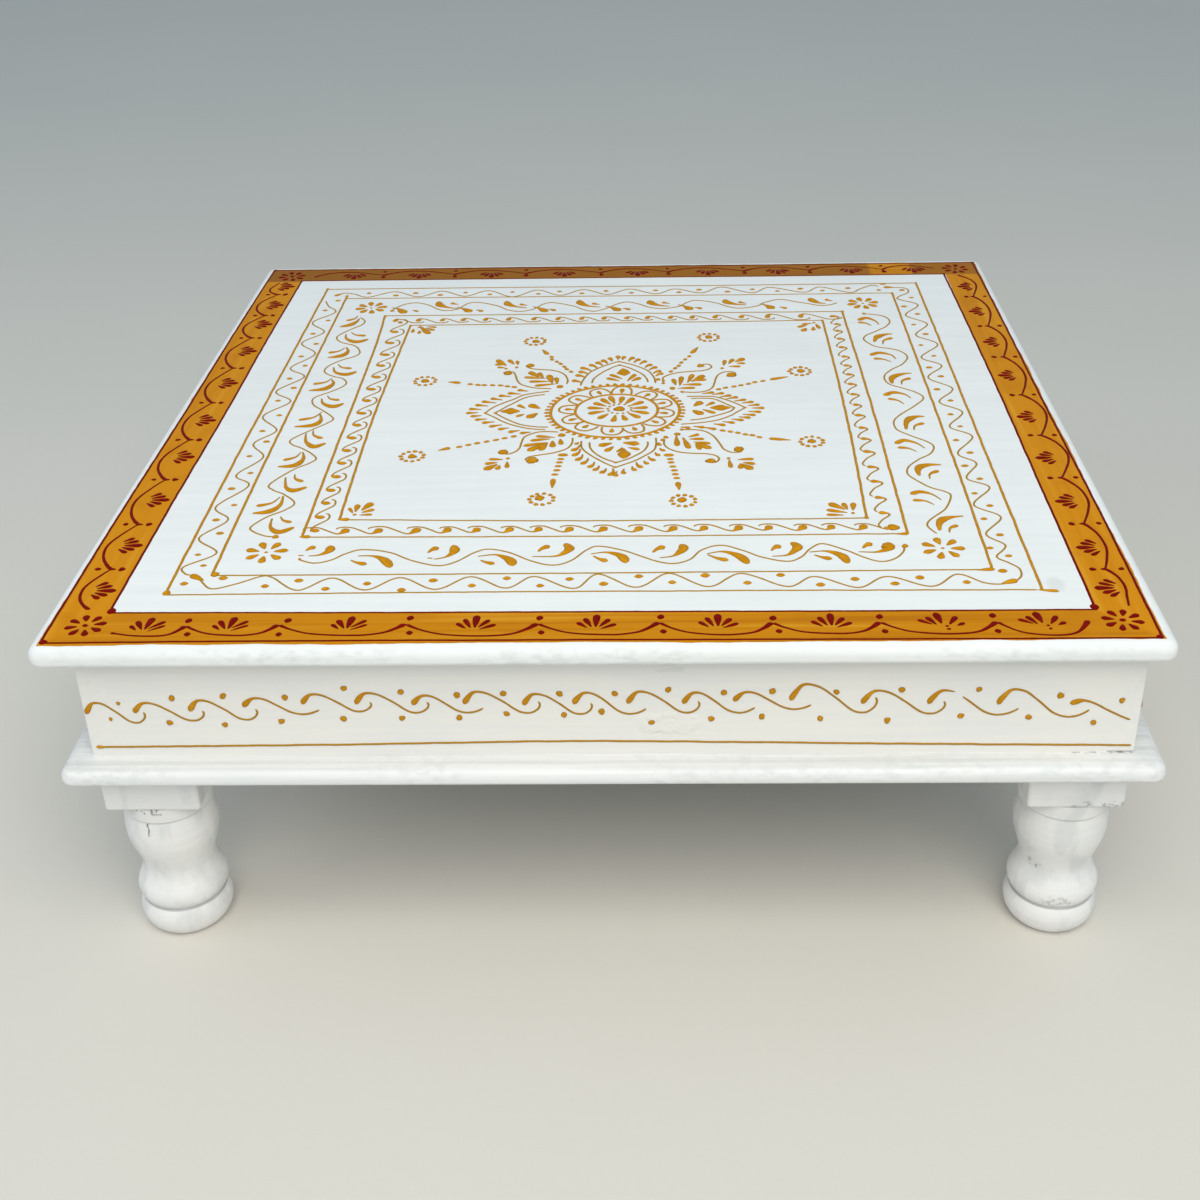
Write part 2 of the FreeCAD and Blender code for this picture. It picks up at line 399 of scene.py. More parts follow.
MM = 0.001
board_low, board_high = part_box("top_board")
board_top = board_high.z
pattern_x = (board_low.x + board_high.x) / 2 - 0.5 * MM
pattern_y = (board_low.y + board_high.y) / 2 - 0.9 * MM
band_outer = 298.4 * MM
band_blur = 0.25 * MM
edge_lean_share = 0.3


def leaning(x, y):
    """How far the pattern strays at a place in millimetres: to the right towards the back."""
    right, back = x / 300, y / 300
    stray_x = 1.4 + right * 0.64 + back * 1.44 + right * back * 0.84
    stray_y = right * 0.15 + back * 0.3 + back * back * 0.84 - 1.1
    return stray_x, stray_y


def banded(finish, place, colour, roughness, height):
    """The ochre band, dark at the back, and a grey smudge on the white near the front right."""
    ochre = (0.610, 0.228, 0.0030, 1)
    ochre_side = (0.730, 0.285, 0.0050, 1)
    ochre_dark = (0.470, 0.150, 0.0010, 1)
    ochre_light = (0.730, 0.340, 0.022, 1)
    ochre_back = (0.270, 0.098, 0.010, 1)
    across, depth, up = finish.along(place)
    across = across - pattern_x
    depth = depth - pattern_y
    ragged = finish.grain(place, (70, 70, 70), 3, 2.6) * 0.0022
    ragged = ragged + finish.grain(place, (14, 14, 14), 1, 4.2) * 0.0024
    stray_x, stray_y = leaning(across / MM, depth / MM)
    outer_x = across - stray_x * edge_lean_share * MM
    outer_y = depth - stray_y * edge_lean_share * MM
    edge = outer_x.size().more(outer_y.size()) + ragged - 0.0023
    inner_x = across / MM - stray_x
    inner_y = depth / MM - stray_y
    inner = (inner_x + inner_y * 0.003 - 268.1).more(-269.8 - inner_x)
    inner = inner.more(-266.7 - inner_y - inner_x * 0.005).more(inner_y - 269.1)
    band = edge.rise(band_outer + band_blur, band_outer - band_blur) * inner.rise(-0.3, 0.3)
    band = band * up.rise(board_top - 0.0020, board_top - 0.0012)
    sideways = (depth.size() - across.size()).rise(-0.004, 0.004)
    inwards = 1 - sideways
    streak = finish.grain(place, (5.0, 210, 1), 4, 3.7) * sideways
    streak = streak + finish.grain(place, (210, 5.0, 1), 4, 6.1) * inwards
    broad = finish.grain(place, (2.2, 75, 1), 2, 9.9) * sideways
    broad = broad + finish.grain(place, (75, 2.2, 1), 2, 1.9) * inwards
    cloud = finish.grain(place, (30, 30, 30), 2, 5.0)
    mixed = streak * 0.68 + broad * 0.32
    paint = finish.blend(mixed.rise(0.51, 0.33) * 0.85, ochre, ochre_dark)
    paint = finish.blend(inwards * 0.5, paint, ochre_side)
    paint = finish.blend(mixed.rise(0.52, 0.68) * 0.8, paint, ochre_light)
    paint = finish.blend(cloud.rise(0.56, 0.72) * 0.25, paint, ochre_dark)
    second_coat = depth.rise(0.266, 0.270) * (1 - across.window(0.207, 0.212, 0.2435, 0.2445))
    paint = finish.blend(second_coat * (0.79 - across * 0.3), paint, ochre_back)
    smudge = oval(across, depth, (0.2528, -0.2420), 0.0052, 0.009)
    smudge = (smudge + cloud * 2.0).rise(2.4, 1.0) * 0.35
    colour = finish.blend(smudge, colour, wear_and_shade_grey)
    colour = finish.blend(band, colour, paint)
    height = height * (1 - band * 0.55) + band * (streak * 1.5 + 0.9)
    return colour, roughness + band * 0.03, height


def board_finish(finish, place, colour, roughness, height):
    """A rubbed nose below the flat of the board, and the band on top."""
    across, depth, up = finish.along(place)
    nose = up.rise(board_top - 0.0005, board_top - 0.0025)
    grey, _, dent = rubbed(finish, place, colour, roughness, height)
    colour = finish.blend(nose, colour, grey)
    height = height + (dent - height) * nose
    return banded(finish, place, colour, roughness, height)


paint_nodes(white_paint("top_board_paint", (9, 150, 150), 4.0, board_finish, 0.05), "top_board")


# Border: maroon lines piped along both edges of the ochre band, with scallops between
# them, a fan of five drops in each scallop and a dot on each side of every cusp. Thick
# glossy paint squeezed from a cone, so every line is a low round bead.


def graph(tree, kind, settings, inputs, result=0):
    """Adds one node to the piping tree, and gives one of its results."""
    node = tree.nodes.new(kind)
    for setting, value in settings.items():
        setattr(node, setting, value)
    for socket, value in inputs.items():
        if isinstance(value, bpy.types.NodeSocket):
            tree.links.new(value, node.inputs[socket])
        else:
            node.inputs[socket].default_value = value
    return node.outputs[result]


def piping():
    """Turns a mesh of strokes and loose points, each with its half width, into beads of paint."""
    tree = bpy.data.node_groups.new("piped_paint", "GeometryNodeTree")
    face = tree.interface
    face.new_socket("Geometry", in_out="OUTPUT", socket_type="NodeSocketGeometry")
    face.new_socket("Geometry", in_out="INPUT", socket_type="NodeSocketGeometry")
    named = {"Step": 0.001, "Wobble": 0.0002, "Unevenness": 0.10, "Rise": 1.0, "Limit": 0.0022}
    named.update({"Sink": 0.00012, "Seed": 1.0})
    for name, value in named.items():
        face.new_socket(name, in_out="INPUT", socket_type="NodeSocketFloat").default_value = value
    face.new_socket("Paint", in_out="INPUT", socket_type="NodeSocketMaterial")
    given = tree.nodes.new("NodeGroupInput").outputs
    geo = "GeometryNode"

    def sum_of(operation, first, second=0.0, third=0.0):
        values = {0: first, 1: second, 2: third}
        return graph(tree, "ShaderNodeMath", {"operation": operation}, values)

    def vector(operation, first, second):
        values = {0: first, 1: second}
        return graph(tree, "ShaderNodeVectorMath", {"operation": operation}, values)

    def kept(name):
        return graph(tree, geo + "InputNamedAttribute", {"data_type": "FLOAT"}, {"Name": name})

    def keep(geometry, name, value):
        values = {"Geometry": geometry, "Name": name, "Value": value}
        return graph(tree, geo + "StoreNamedAttribute", {"data_type": "FLOAT"}, values)

    def height_of(bead):
        """Thin beads stand as high as they are wide, and thick ones slump."""
        low = sum_of("DIVIDE", bead, given["Limit"])
        return sum_of("DIVIDE", sum_of("MULTIPLY", bead, given["Rise"]), sum_of("ADD", low, 1.0))

    wander_scale, uneven_scale, blot_scale = 80.0, 260.0, 330.0
    taper_rate, blunt_start = 1.1, 0.05

    def drifting(scale, shift, result):
        """Noise that changes slowly from place to place."""
        seed = sum_of("ADD", given["Seed"], shift)
        place = graph(tree, geo + "InputPosition", {}, {})
        values = {"Vector": place, "W": seed, "Scale": scale, "Detail": 1.5}
        return graph(tree, "ShaderNodeTexNoise", {"noise_dimensions": "4D"}, values, result)

    mean_noise = (0.5, 0.5, 0.5)
    level = vector("SUBTRACT", drifting(wander_scale, 0.0, "Color"), mean_noise)
    level = vector("MULTIPLY", level, (4.0, 4.0, 0.0))
    scale = graph(tree, "ShaderNodeCombineXYZ", {}, {0: given["Wobble"], 1: given["Wobble"]})
    strayed = vector("MULTIPLY", level, scale)
    uneven = sum_of("SUBTRACT", drifting(uneven_scale, 7.0, "Fac"), 0.5)
    uneven = sum_of("MULTIPLY_ADD", uneven, sum_of("MULTIPLY", given["Unevenness"], 4.0), 1.0)

    strokes = graph(tree, geo + "MeshToCurve", {}, {"Mesh": given["Geometry"]})
    strokes = graph(tree, geo + "CurveSplineType", {"spline_type": "CATMULL_ROM"}, {"Curve": strokes})
    values = {"Curve": strokes, "Length": given["Step"]}
    strokes = graph(tree, geo + "ResampleCurve", {"mode": "LENGTH"}, values)
    run = graph(tree, geo + "SplineParameter", {}, {}, "Length")
    rest = sum_of("SUBTRACT", graph(tree, geo + "SplineLength", {}, {}, "Length"), run)
    from_end = sum_of("DIVIDE", sum_of("MINIMUM", run, rest), kept("bead"))
    rounded = sum_of("MULTIPLY_ADD", from_end, taper_rate, blunt_start)
    rounded = sum_of("SQRT", sum_of("MINIMUM", rounded, 1.0))
    rounded = sum_of("MAXIMUM", rounded, graph(tree, geo + "InputSplineCyclic", {}, {}))
    bead = sum_of("MULTIPLY", sum_of("MULTIPLY", kept("bead"), uneven), rounded)
    strokes = keep(strokes, "bead", bead)
    strokes = graph(tree, geo + "SetPosition", {}, {"Geometry": strokes, "Offset": strayed})
    strokes = graph(tree, geo + "SetCurveNormal", {"mode": "Z_UP"}, {"Curve": strokes})
    values = {"Resolution": 7, "Radius": 1.0, "Start Angle": math.pi, "Sweep Angle": math.pi}
    section = graph(tree, geo + "CurveArc", {"mode": "RADIUS"}, values)
    section = graph(tree, geo + "SetSplineCyclic", {}, {"Geometry": section, "Cyclic": True})
    place = graph(tree, geo + "InputPosition", {}, {})
    upwards = graph(tree, "ShaderNodeSeparateXYZ", {}, {0: place}, 1)
    section = keep(section, "crown", sum_of("ABSOLUTE", upwards))
    values = {"Curve": strokes, "Profile Curve": section, "Scale": kept("bead"), "Fill Caps": True}
    beads = graph(tree, geo + "CurveToMesh", {}, values)

    alone = graph(tree, geo + "InputMeshVertexNeighbors", {}, {}, 0)
    alone = graph(tree, "FunctionNodeCompare", {"data_type": "INT", "operation": "EQUAL"}, {2: alone, 3: 0})
    dots = graph(tree, geo + "MeshToPoints", {}, {"Mesh": given["Geometry"], "Selection": alone})
    values = {"Vertices": 12, "Side Segments": 4, "Radius Top": 0.0, "Radius Bottom": 1.0, "Depth": 1.0}
    dome = graph(tree, geo + "MeshCone", {"fill_type": "NGON"}, values)
    flat = vector("MULTIPLY", graph(tree, geo + "InputPosition", {}, {}), (1.0, 1.0, 0.0))
    reach = graph(tree, "ShaderNodeVectorMath", {"operation": "DOT_PRODUCT"}, {0: flat, 1: flat}, "Value")
    crown = sum_of("SQRT", sum_of("MAXIMUM", sum_of("SUBTRACT", 1.0, reach), 0.0))
    dome = keep(dome, "crown", crown)
    values = {"Points": dots, "Instance": dome, "Scale": kept("bead")}
    dots = graph(tree, geo + "InstanceOnPoints", {}, values)
    dots = graph(tree, geo + "RealizeInstances", {}, {"Geometry": dots})
    blot = vector("SUBTRACT", drifting(blot_scale, 3.0, "Color"), mean_noise)
    blot = vector("MULTIPLY", blot, (1.3, 1.3, 0.0))
    scale = graph(tree, "ShaderNodeCombineXYZ", {}, {0: kept("bead"), 1: kept("bead")})
    blot = vector("MULTIPLY", blot, scale)
    dots = graph(tree, geo + "SetPosition", {}, {"Geometry": dots, "Offset": blot})

    both = tree.nodes.new(geo + "JoinGeometry")
    for part in (beads, dots):
        tree.links.new(part, both.inputs[0])
    place = graph(tree, geo + "InputPosition", {}, {})
    across, depth = (graph(tree, "ShaderNodeSeparateXYZ", {}, {0: place}, way) for way in (0, 1))
    up = sum_of("SUBTRACT", sum_of("MULTIPLY", kept("crown"), height_of(kept("bead"))), given["Sink"])
    raised = graph(tree, "ShaderNodeCombineXYZ", {}, {0: across, 1: depth, 2: up})
    laid = graph(tree, geo + "SetPosition", {}, {"Geometry": both.outputs[0], "Position": raised})
    laid = graph(tree, geo + "SetShadeSmooth", {}, {"Geometry": laid})
    laid = graph(tree, geo + "RealizeInstances", {}, {"Geometry": laid})
    laid = graph(tree, geo + "SetMaterial", {}, {"Geometry": laid, "Material": given["Paint"]})
    tree.links.new(laid, tree.nodes.new("NodeGroupOutput").inputs[0])
    return tree


piped_paint = piping()


class Piping:
    """Strokes and dots piped on one flat face, in millimetres, with the half width of each."""

    def __init__(self, stray=None):
        self.stray = stray
        self.points = []
        self.beads = []
        self.edges = []

    def dot(self, x, y, bead):
        """A round dot, of that half width."""
        self.points.append((x, y))
        self.beads.append(bead)

    def stroke(self, points, beads, closed=False):
        """One pull of the cone through these points, with a half width at each."""
        first = len(self.points)
        self.points += [tuple(point) for point in points]
        self.beads += beads
        self.edges += [(first + i, first + i + 1) for i in range(len(points) - 1)]
        if closed:
            self.edges.append((first + len(points) - 1, first))

    def line(self, points, bead):
        """A stroke of even width."""
        self.stroke(points, [bead] * len(points))

    def drop(self, fat, tip, bead):
        """A teardrop, pressed down at its fat end and drawn out to its tip."""
        along_shares = (0, 0.12, 0.30, 0.52, 0.75, 0.90, 1)
        bead_shares = (0.62, 0.95, 1.0, 0.84, 0.54, 0.34, 0.20)
        fat, tip = Vector(fat), Vector(tip)
        start = fat + (fat - tip).normalized() * bead * 0.55
        self.stroke([start.lerp(tip, s) for s in along_shares], [bead * s for s in bead_shares])

    def leaf(self, points, bead, bead_shares):
        """A curved leaf, thin at one end or both and full in its belly."""
        self.stroke(points, [bead * s for s in bead_shares])

    def comma(self, tail, head, bead, bend):
        """A small leaf that swells from a thin tail to a round head, and bends a little."""
        tail, head = Vector(tail), Vector(head)
        aside = (head - tail).orthogonal() * bend
        bead_shares = (0.24, 0.50, 0.92, 1.0)
        places = [tail, tail.lerp(head, 0.45) + aside, tail.lerp(head, 0.8) + aside * 0.6, head]
        self.stroke(places, [bead * s for s in bead_shares])

    def dash(self, x, y, along, bead, reach_share=1.15):
        """A dot drawn out to both sides along a direction."""
        reach = Vector(along).normalized() * bead * reach_share
        self.stroke([Vector((x, y)) - reach, Vector((x, y)), Vector((x, y)) + reach], [bead] * 3)

    def lay(self, name, paint, slot, place, **sizes):
        """Makes the piece: pipes the strokes, then sets them on the face at that place."""
        mesh = bpy.data.meshes.new(name)
        points = [self.stray(x, y) if self.stray else (x, y) for x, y in self.points]
        mesh.from_pydata([(x * MM, y * MM, 0) for x, y in points], self.edges, [])
        width = mesh.attributes.new("bead", "FLOAT", "POINT")
        width.data.foreach_set("value", [bead * MM for bead in self.beads])
        piece = bpy.data.objects.new(name, mesh)
        bpy.context.scene.collection.objects.link(piece)
        modifier = piece.modifiers.new("piping", "NODES")
        modifier.node_group = piped_paint
        for key, value in dict(sizes, Paint=paint).items():
            modifier[piped_paint.interface.items_tree[key].identifier] = value
        whole = piece.evaluated_get(bpy.context.evaluated_depsgraph_get())
        beads = bpy.data.meshes.new_from_object(whole)
        piece.modifiers.clear()
        piece.data = beads
        beads.transform(place)
        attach(piece, "root")


def bead_paint(name, foot_shade, body, light, thin, shine):
    """Thick paint: painted shade on its sloping sides, a painted highlight on its crown, duller when thin.
    """
    finish = Finish(name)
    place = finish.add("TexCoord", {}, {}, "Object")
    crown = finish.add("Attribute", {"attribute_name": "crown"}, {}, "Fac")
    bead = finish.add("Attribute", {"attribute_name": "bead"}, {}, "Fac")
    pooled = finish.grain(place, (190, 190, 190), 2, 3.0)
    # Painted shade and highlight: the bead's sloping sides take the darker colour and its crown the
    # brighter, with patches of painted highlight on the crown.
    colour = finish.blend(crown.rise(0.05, 0.75), foot_shade, body)
    colour = finish.blend(pooled.rise(0.46, 0.68) * crown.rise(0.4, 0.9), colour, light)
    colour = finish.blend(bead.rise(0.0011, 0.0006), colour, thin)
    finish.shader.inputs["Specular IOR Level"].default_value = shine
    finish.dress(colour, 0.32 + pooled * 0.14, pooled, 0.00025)
    return finish.material


# Maroon: a painted shade colour for the sides of the beads, the body, a painted highlight for the crown, and
# a colour for thin lines.
maroon_foot_shade, maroon_body = (0.110, 0.005, 0.001, 1), (0.188, 0.003, 0.001, 1)
maroon_highlight, maroon_thin = (0.240, 0.004, 0.001, 1), (0.135, 0.008, 0.002, 1)
maroon_paint = bead_paint("maroon_paint", maroon_foot_shade, maroon_body, maroon_highlight, maroon_thin, 0.03)
on_board = Matrix.Translation((pattern_x, pattern_y, board_top))


def on_side(side, along, out):
    """A place on one side: along runs anticlockwise, out is the distance from the middle."""
    if side == "front":
        return along, -out
    if side == "right":
        return out, along
    if side == "back":
        return -along, out
    return -out, -along


def off_square(x, y):
    """Where a place of the pattern came out by hand. Near the board's edge it strays less."""
    steady_from, steady_width = 297, 29
    stray_x, stray_y = leaning(x, y)
    from_edge = min(max((steady_from - max(abs(x), abs(y))) / steady_width, 0), 1)
    share = edge_lean_share + (1 - edge_lean_share) * from_edge
    return x + stray_x * share, y + stray_y * share


def around(x, y, radius_x, radius_y, count, first=0.0):
    """Places evenly spaced round a middle, from a first angle in radians."""
    turns = [first + 2 * math.pi * step / count for step in range(count)]
    return [(x + radius_x * math.cos(turn), y + radius_y * math.sin(turn)) for turn in turns]


red_line = 0.85
border = Piping(off_square)
border_lines = (
    ((-297.5, -296), (-180, -295.2), (0, -295.8), (150, -296.8), (297, -297.2)),
    ((296.5, -298), (297.3, -150), (297, 0), (297.6, 150), (297, 298)),
    ((298.5, 297.2), (150, 296.6), (0, 297.2), (-150, 297), (-298.5, 297.4)),
    ((-297.8, 298.5), (-298.2, 150), (-297.6, 0), (-298.2, -150), (-297.4, -297)),
    ((-270.5, -264.8), (-120, -266.3), (0, -266.9), (140, -267.9), (269, -268)),
    ((268.6, -269), (268.2, -120), (268.4, 0), (267.6, 140), (266.2, 270)),
    ((267, 268.6), (130, 268.4), (0, 269.2), (-130, 269.4), (-270.5, 269.8)),
    ((-269.6, 270.5), (-270.2, 130), (-269.4, 0), (-270, -130), (-269.4, -264)),
)
for path in border_lines:
    border.line(path, red_line)
for x, y, bead in ((-268.6, -263, 2.6), (268.4, -265.2, 2.6), (266, 268.5, 1.6), (-269.5, 269.5, 1.5)):
    border.dash(x, y, (0, 1), bead, 1.2)
for blob in ((-296, -294.8, 2.6), (295.5, -296.2, 2.2), (296.5, 296.5, 1.7), (-297, 297, 1.7)):
    border.dot(*blob)

scallops = {
    "front": [
        (-262.5, 286), (-223, 279.5), (-172.5, 279), (-103.5, 279), (-32, 279.5),
        (33, 279), (94, 280), (151.5, 280), (213.5, 280.5), (262.5, 279.5),
    ],
    "right": [
        (-265, 287), (-224.6, 284), (-170.6, 284), (-109.7, 284), (-47.2, 284),
        (18.8, 284), (87.9, 284), (150, 283.5), (214.5, 283), (265.5, 277.5),
    ],
    "back": [
        (-262, 283), (-218.3, 282), (-156.7, 282), (-102.2, 282), (-38.3, 282),
        (18.4, 282), (81.5, 282), (141.5, 282), (202, 282), (260.5, 278.8),
    ],
    "left": [
        (-266, 287), (-237.3, 283), (-189.5, 283), (-141.5, 283), (-81.5, 283),
        (-18.8, 283), (42.3, 283), (101.8, 283), (162.1, 283), (216.7, 283), (261.5, 281.6),
    ],
}
deepest = {
    "front": (289.5, 289.2, 290, 291.3, 290.8, 291.5, 291, 292, 294),
    "right": (290, 290.5, 293.6, 295.2, 294.6, 293.5, 292, 291, 290),
    "back": (291, 291, 291, 291, 291, 291, 291, 291, 290),
    "left": (291.5, 293.5, 293.5, 293.5, 293.5, 293.5, 293.5, 293.5, 293.5, 292),
}
scallop_shares = ((0, 0), (0.2, 0.52), (0.42, 0.94), (0.6, 1), (0.78, 0.78), (0.92, 0.36), (1, 0))
flat_scallop_shares = (
    (0, 0), (0.10, 0.40), (0.25, 0.79), (0.45, 0.97), (0.66, 0.99), (0.82, 0.80), (0.92, 0.40),
    (0.97, 0.10), (1, 0),
)
scallop_bead_shares = (0.9, 1.0, 1.1, 1.15, 1.2, 1.5, 1.9)
flat_scallop_bead_shares = (1.6, 1.05, 1.0, 1.05, 1.1, 1.2, 1.7, 2.3, 2.2)
upper_dots = (
    (-223.2, 273.7), (-168.7, 274.2), (-102.3, 272.4), (-31.8, 273.3), (33.6, 272.9), (94.1, 274.8),
    (151.4, 273.9), (212, 273.7),
)
lower_dots = (
    (-220.4, 287.9), (-170.8, 288.5), (-100.7, 287.7), (-29.9, 288.1), (35.1, 287.9), (96.7, 288.5),
    (152.6, 289), (212.2, 289.6),
)
# Front fans, left, middle and right ones: the belly and tip of each drop and its half width.
left_fan = (
    ((-8.8, 7), (-4.9, 11.3), 1.6), ((-6.2, 2.8), (-2, 10.7), 2.0), ((0.5, 0), (-0.6, 10.7), 2.5),
    ((7.7, 2.8), (0.6, 9.8), 1.6), ((8.8, 6.8), (0.6, 12.4), 1.3),
)
middle_fan = (
    ((-9.4, 6.6), (-4.6, 11.4), 1.7), ((-5.8, 2.7), (-2.2, 10.8), 1.9), ((0, 0), (0, 10.8), 2.5),
    ((6.2, 3.6), (1.6, 10.6), 1.9), ((9.7, 8), (2.2, 12.4), 1.7),
)
right_fan = (
    ((-10, 5.8), (-3.3, 10.1), 1.7), ((-5.4, 3.4), (-1.4, 10.6), 1.9), ((-0.5, 0), (1.2, 9.4), 2.6),
    ((9.2, 3.3), (5, 10.4), 2.0), ((12.2, 9.2), (8.8, 11.4), 1.8),
)
fans = {
    "front": (-244.2, -199, -134.5, -66.1, -1, 64.5, 125, 182.5, 236),
    "right": (-245.4, -199.4, -141.5, -81, -17.5, 53.8, 117.6, 181.7, 238.1),
    "back": (-243.7, -191.5, -130, -71.4, -12.3, 49.2, 110.7, 171.6, 226.8),
    "left": (-256.5, -212.9, -170.2, -114.7, -53.6, 10.9, 68.5, 130, 188.5, 241),
}
inner_dot = 276.7
fan_foot, fan_tip = 273.9, 284.4
side_fan = ((5.2, 277.1, 2.0, 285, 1.85), (8.8, 280.5, 4.0, 286.2, 1.7))
for side, cusps in scallops.items():
    shares, bead_shares = scallop_shares, scallop_bead_shares
    if side == "front":
        shares, bead_shares = flat_scallop_shares, flat_scallop_bead_shares
    for (start, start_out), (end, end_out), deep in zip(cusps, cusps[1:], deepest[side]):
        arc = []
        for share, depth_share in shares:
            base = start_out + (end_out - start_out) * share
            along = start + (end - start) * share
            arc.append(on_side(side, along, base + (deep - base) * depth_share))
        border.stroke(arc, [0.82 * share for share in bead_shares])
for side in ("right", "back", "left"):
    outer_dot = 293 if side == "right" else 290.6
    for along, out in scallops[side][1:-1]:
        border.dot(*on_side(side, along, inner_dot), 2.2)
        border.dot(*on_side(side, along, outer_dot), 1.9)
        border.drop(on_side(side, along, out + 0.6), on_side(side, along, out - 3.4), 1.7)
    for middle in fans[side]:
        border.drop(on_side(side, middle, fan_foot), on_side(side, middle, fan_tip), 2.3)
        for way in (-1, 1):
            for spread, fat, tip_spread, tip, bead in side_fan:
                fat_end = on_side(side, middle + way * spread, fat)
                thin_end = on_side(side, middle + way * tip_spread, tip)
                border.drop(fat_end, thin_end, bead)
for along, out in upper_dots:
    border.dash(along, -out, (0.2, 1), 2.05, 1.25)
for along, out in lower_dots:
    border.dash(along, -out, (-0.2, 1), 2.0, 1.1)
front_fan_foot = -272.5
middle_fans_start, middle_fans_end = -100, 150
for middle in fans["front"]:
    fan = left_fan
    if middle > middle_fans_start:
        fan = middle_fan
    if middle > middle_fans_end:
        fan = right_fan
    for belly, tip, bead in fan:
        fat = Vector(belly) + (Vector(belly) - Vector(tip)).normalized() * bead * 0.5
        fat_end = (middle + fat.x, front_fan_foot - fat.y)
        border.drop(fat_end, (middle + tip[0], front_fan_foot - tip[1]), bead * 0.88)
    if fan is right_fan:
        border.dot(middle + 3.6, -284.1, 1.1)
        border.dot(middle + 4.4, -287.1, 1.2)
for x, y in ((-278.4, -278.2), (280.2, -279.2), (-279.8, 281.3), (278.8, 281.3)):
    border.dot(x, y, 1.9)
    first = math.radians(22.5 + x * 0.03)
    for fat, tip in zip(around(x, y, 10.4, 10.2, 8, first), around(x, y, 4.0, 4.0, 8, first)):
        border.drop(fat, tip, 2.1)
border.lay("border_scallops", maroon_paint, "maroon_paint", on_board, Seed=1.0, Rise=0.62)


# Gold squares: four squares, one inside the next, piped freehand in gold. Each side is one
# pull of the cone, with a blob where two sides meet. They bound the wave and scroll bands.

# Gold: a painted shade colour for the sides of the beads, the body, a painted highlight for the crown, and a
# colour for thin lines.
gold_foot_shade, gold_body = (0.350, 0.152, 0.007, 1), (0.575, 0.242, 0.003, 1)
gold_highlight, gold_thin = (0.680, 0.300, 0.006, 1), (0.420, 0.225, 0.020, 1)
gold_paint = bead_paint("gold_line_paint", gold_foot_shade, gold_body, gold_highlight, gold_thin, 0.05)
gold_line = 0.65
side_line = 0.9
squares = Piping(off_square)
front_and_back_lines = (
    ((-244, -246), (-120, -245.2), (0, -245.2), (130, -245.8), (242, -246.8)),
    ((240.5, 247.5), (120, 247.2), (0, 247.6), (-120, 248.2), (-244.5, 248.5)),
    ((-223, -224.6), (-110, -224.8), (0, -224.8), (110, -224.4), (221, -224)),
    ((218.4, 225), (110, 224.6), (0, 225.2), (-110, 225.6), (-225, 226)),
    ((-180.5, -179.6), (-90, -180.6), (0, -181.2), (90, -181.4), (179, -180.8)),
    ((174.4, 184.5), (90, 184.8), (0, 185.2), (-90, 185.6), (-187.4, 186)),
    ((-161.8, -157.8), (-80, -160.2), (0, -161.9), (80, -161.6), (157, -161)),
    ((157.2, 166), (80, 165.4), (0, 165.2), (-80, 164.8), (-163.8, 164.5)),
)
for path in front_and_back_lines:
    squares.line(path, gold_line)
side_lines = (
    ((244, -247.5), (243, -120), (242, 0), (241.4, 120), (240, 248)),
    ((-244.2, 251.5), (-244.8, 120), (-245, 0), (-244.8, -120), (-244, -246.4)),
    ((220.6, -224.5), (220.8, -110), (220, 0), (219.2, 110), (218, 225.5)),
    ((178.5, -181), (178, -90), (177.5, 0), (176, 90), (174, 185)),
    ((-187, 186.5), (-184.5, 130), (-182.5, 0), (-181.4, -90), (-180, -180)),
    ((156.5, -161.5), (158, -80), (158.6, 0), (158.2, 80), (157, 166.5)),
    ((-163.5, 165), (-164.6, 80), (-165, 0), (-163.6, -80), (-161.5, -158.4)),
)
for path in side_lines:
    squares.line(path, side_line)
squares.stroke(
    [(-224.9, 233.5), (-224.9, 229), (-225, 224), (-225.2, 110), (-225, 0), (-224.4, -110), (-222.8, -225)],
    [1.2, 1.4] + [side_line] * 5,
)
square_blobs = (
    (240, 247.6, 1.3), (-244.2, 249.5, 1.4), (243.6, -246.4, 1.2), (-221.4, -223.4, 2.5),
    (220, -223.4, 1.6), (217.6, 224.4, 1.5), (-179.6, -179, 1.5), (178, -180, 1.4), (174, 184.3, 1.6),
    (-186.4, 185.6, 1.4), (-161, -157.4, 1.6), (156.4, -160.6, 1.5), (156.8, 165.6, 1.3),
    (-163.4, 164.2, 1.3),
)
for blob in square_blobs:
    squares.dot(*blob)
squares.dash(-243.4, -243.9, (0.25, 1), 2.5, 1.1)
corner_runs = (
    ((252.2, -248.4), (241, -246.6), 1.5), ((221.4, -223.6), (211, -224.6), 1.7),
    ((-175.5, -179.4), (-182, -179.2), 1.9), ((-156, -157.6), (-163, -157.6), 1.9),
    ((178.5, -181), (171, -181.4), 1.6),
)
for end, start, bead in corner_runs:
    squares.drop(end, start, bead)
square_sizes = {"Seed": 2.0, "Step": 1.5 * MM, "Wobble": 0.28 * MM}
squares.lay("gold_squares", gold_paint, "gold_line_paint", on_board, **square_sizes)


# Wave band: one line that swings between the two outer squares on each side, with a dot in
# each bend. It ends in thick blobs at the corners, where the hand turned.

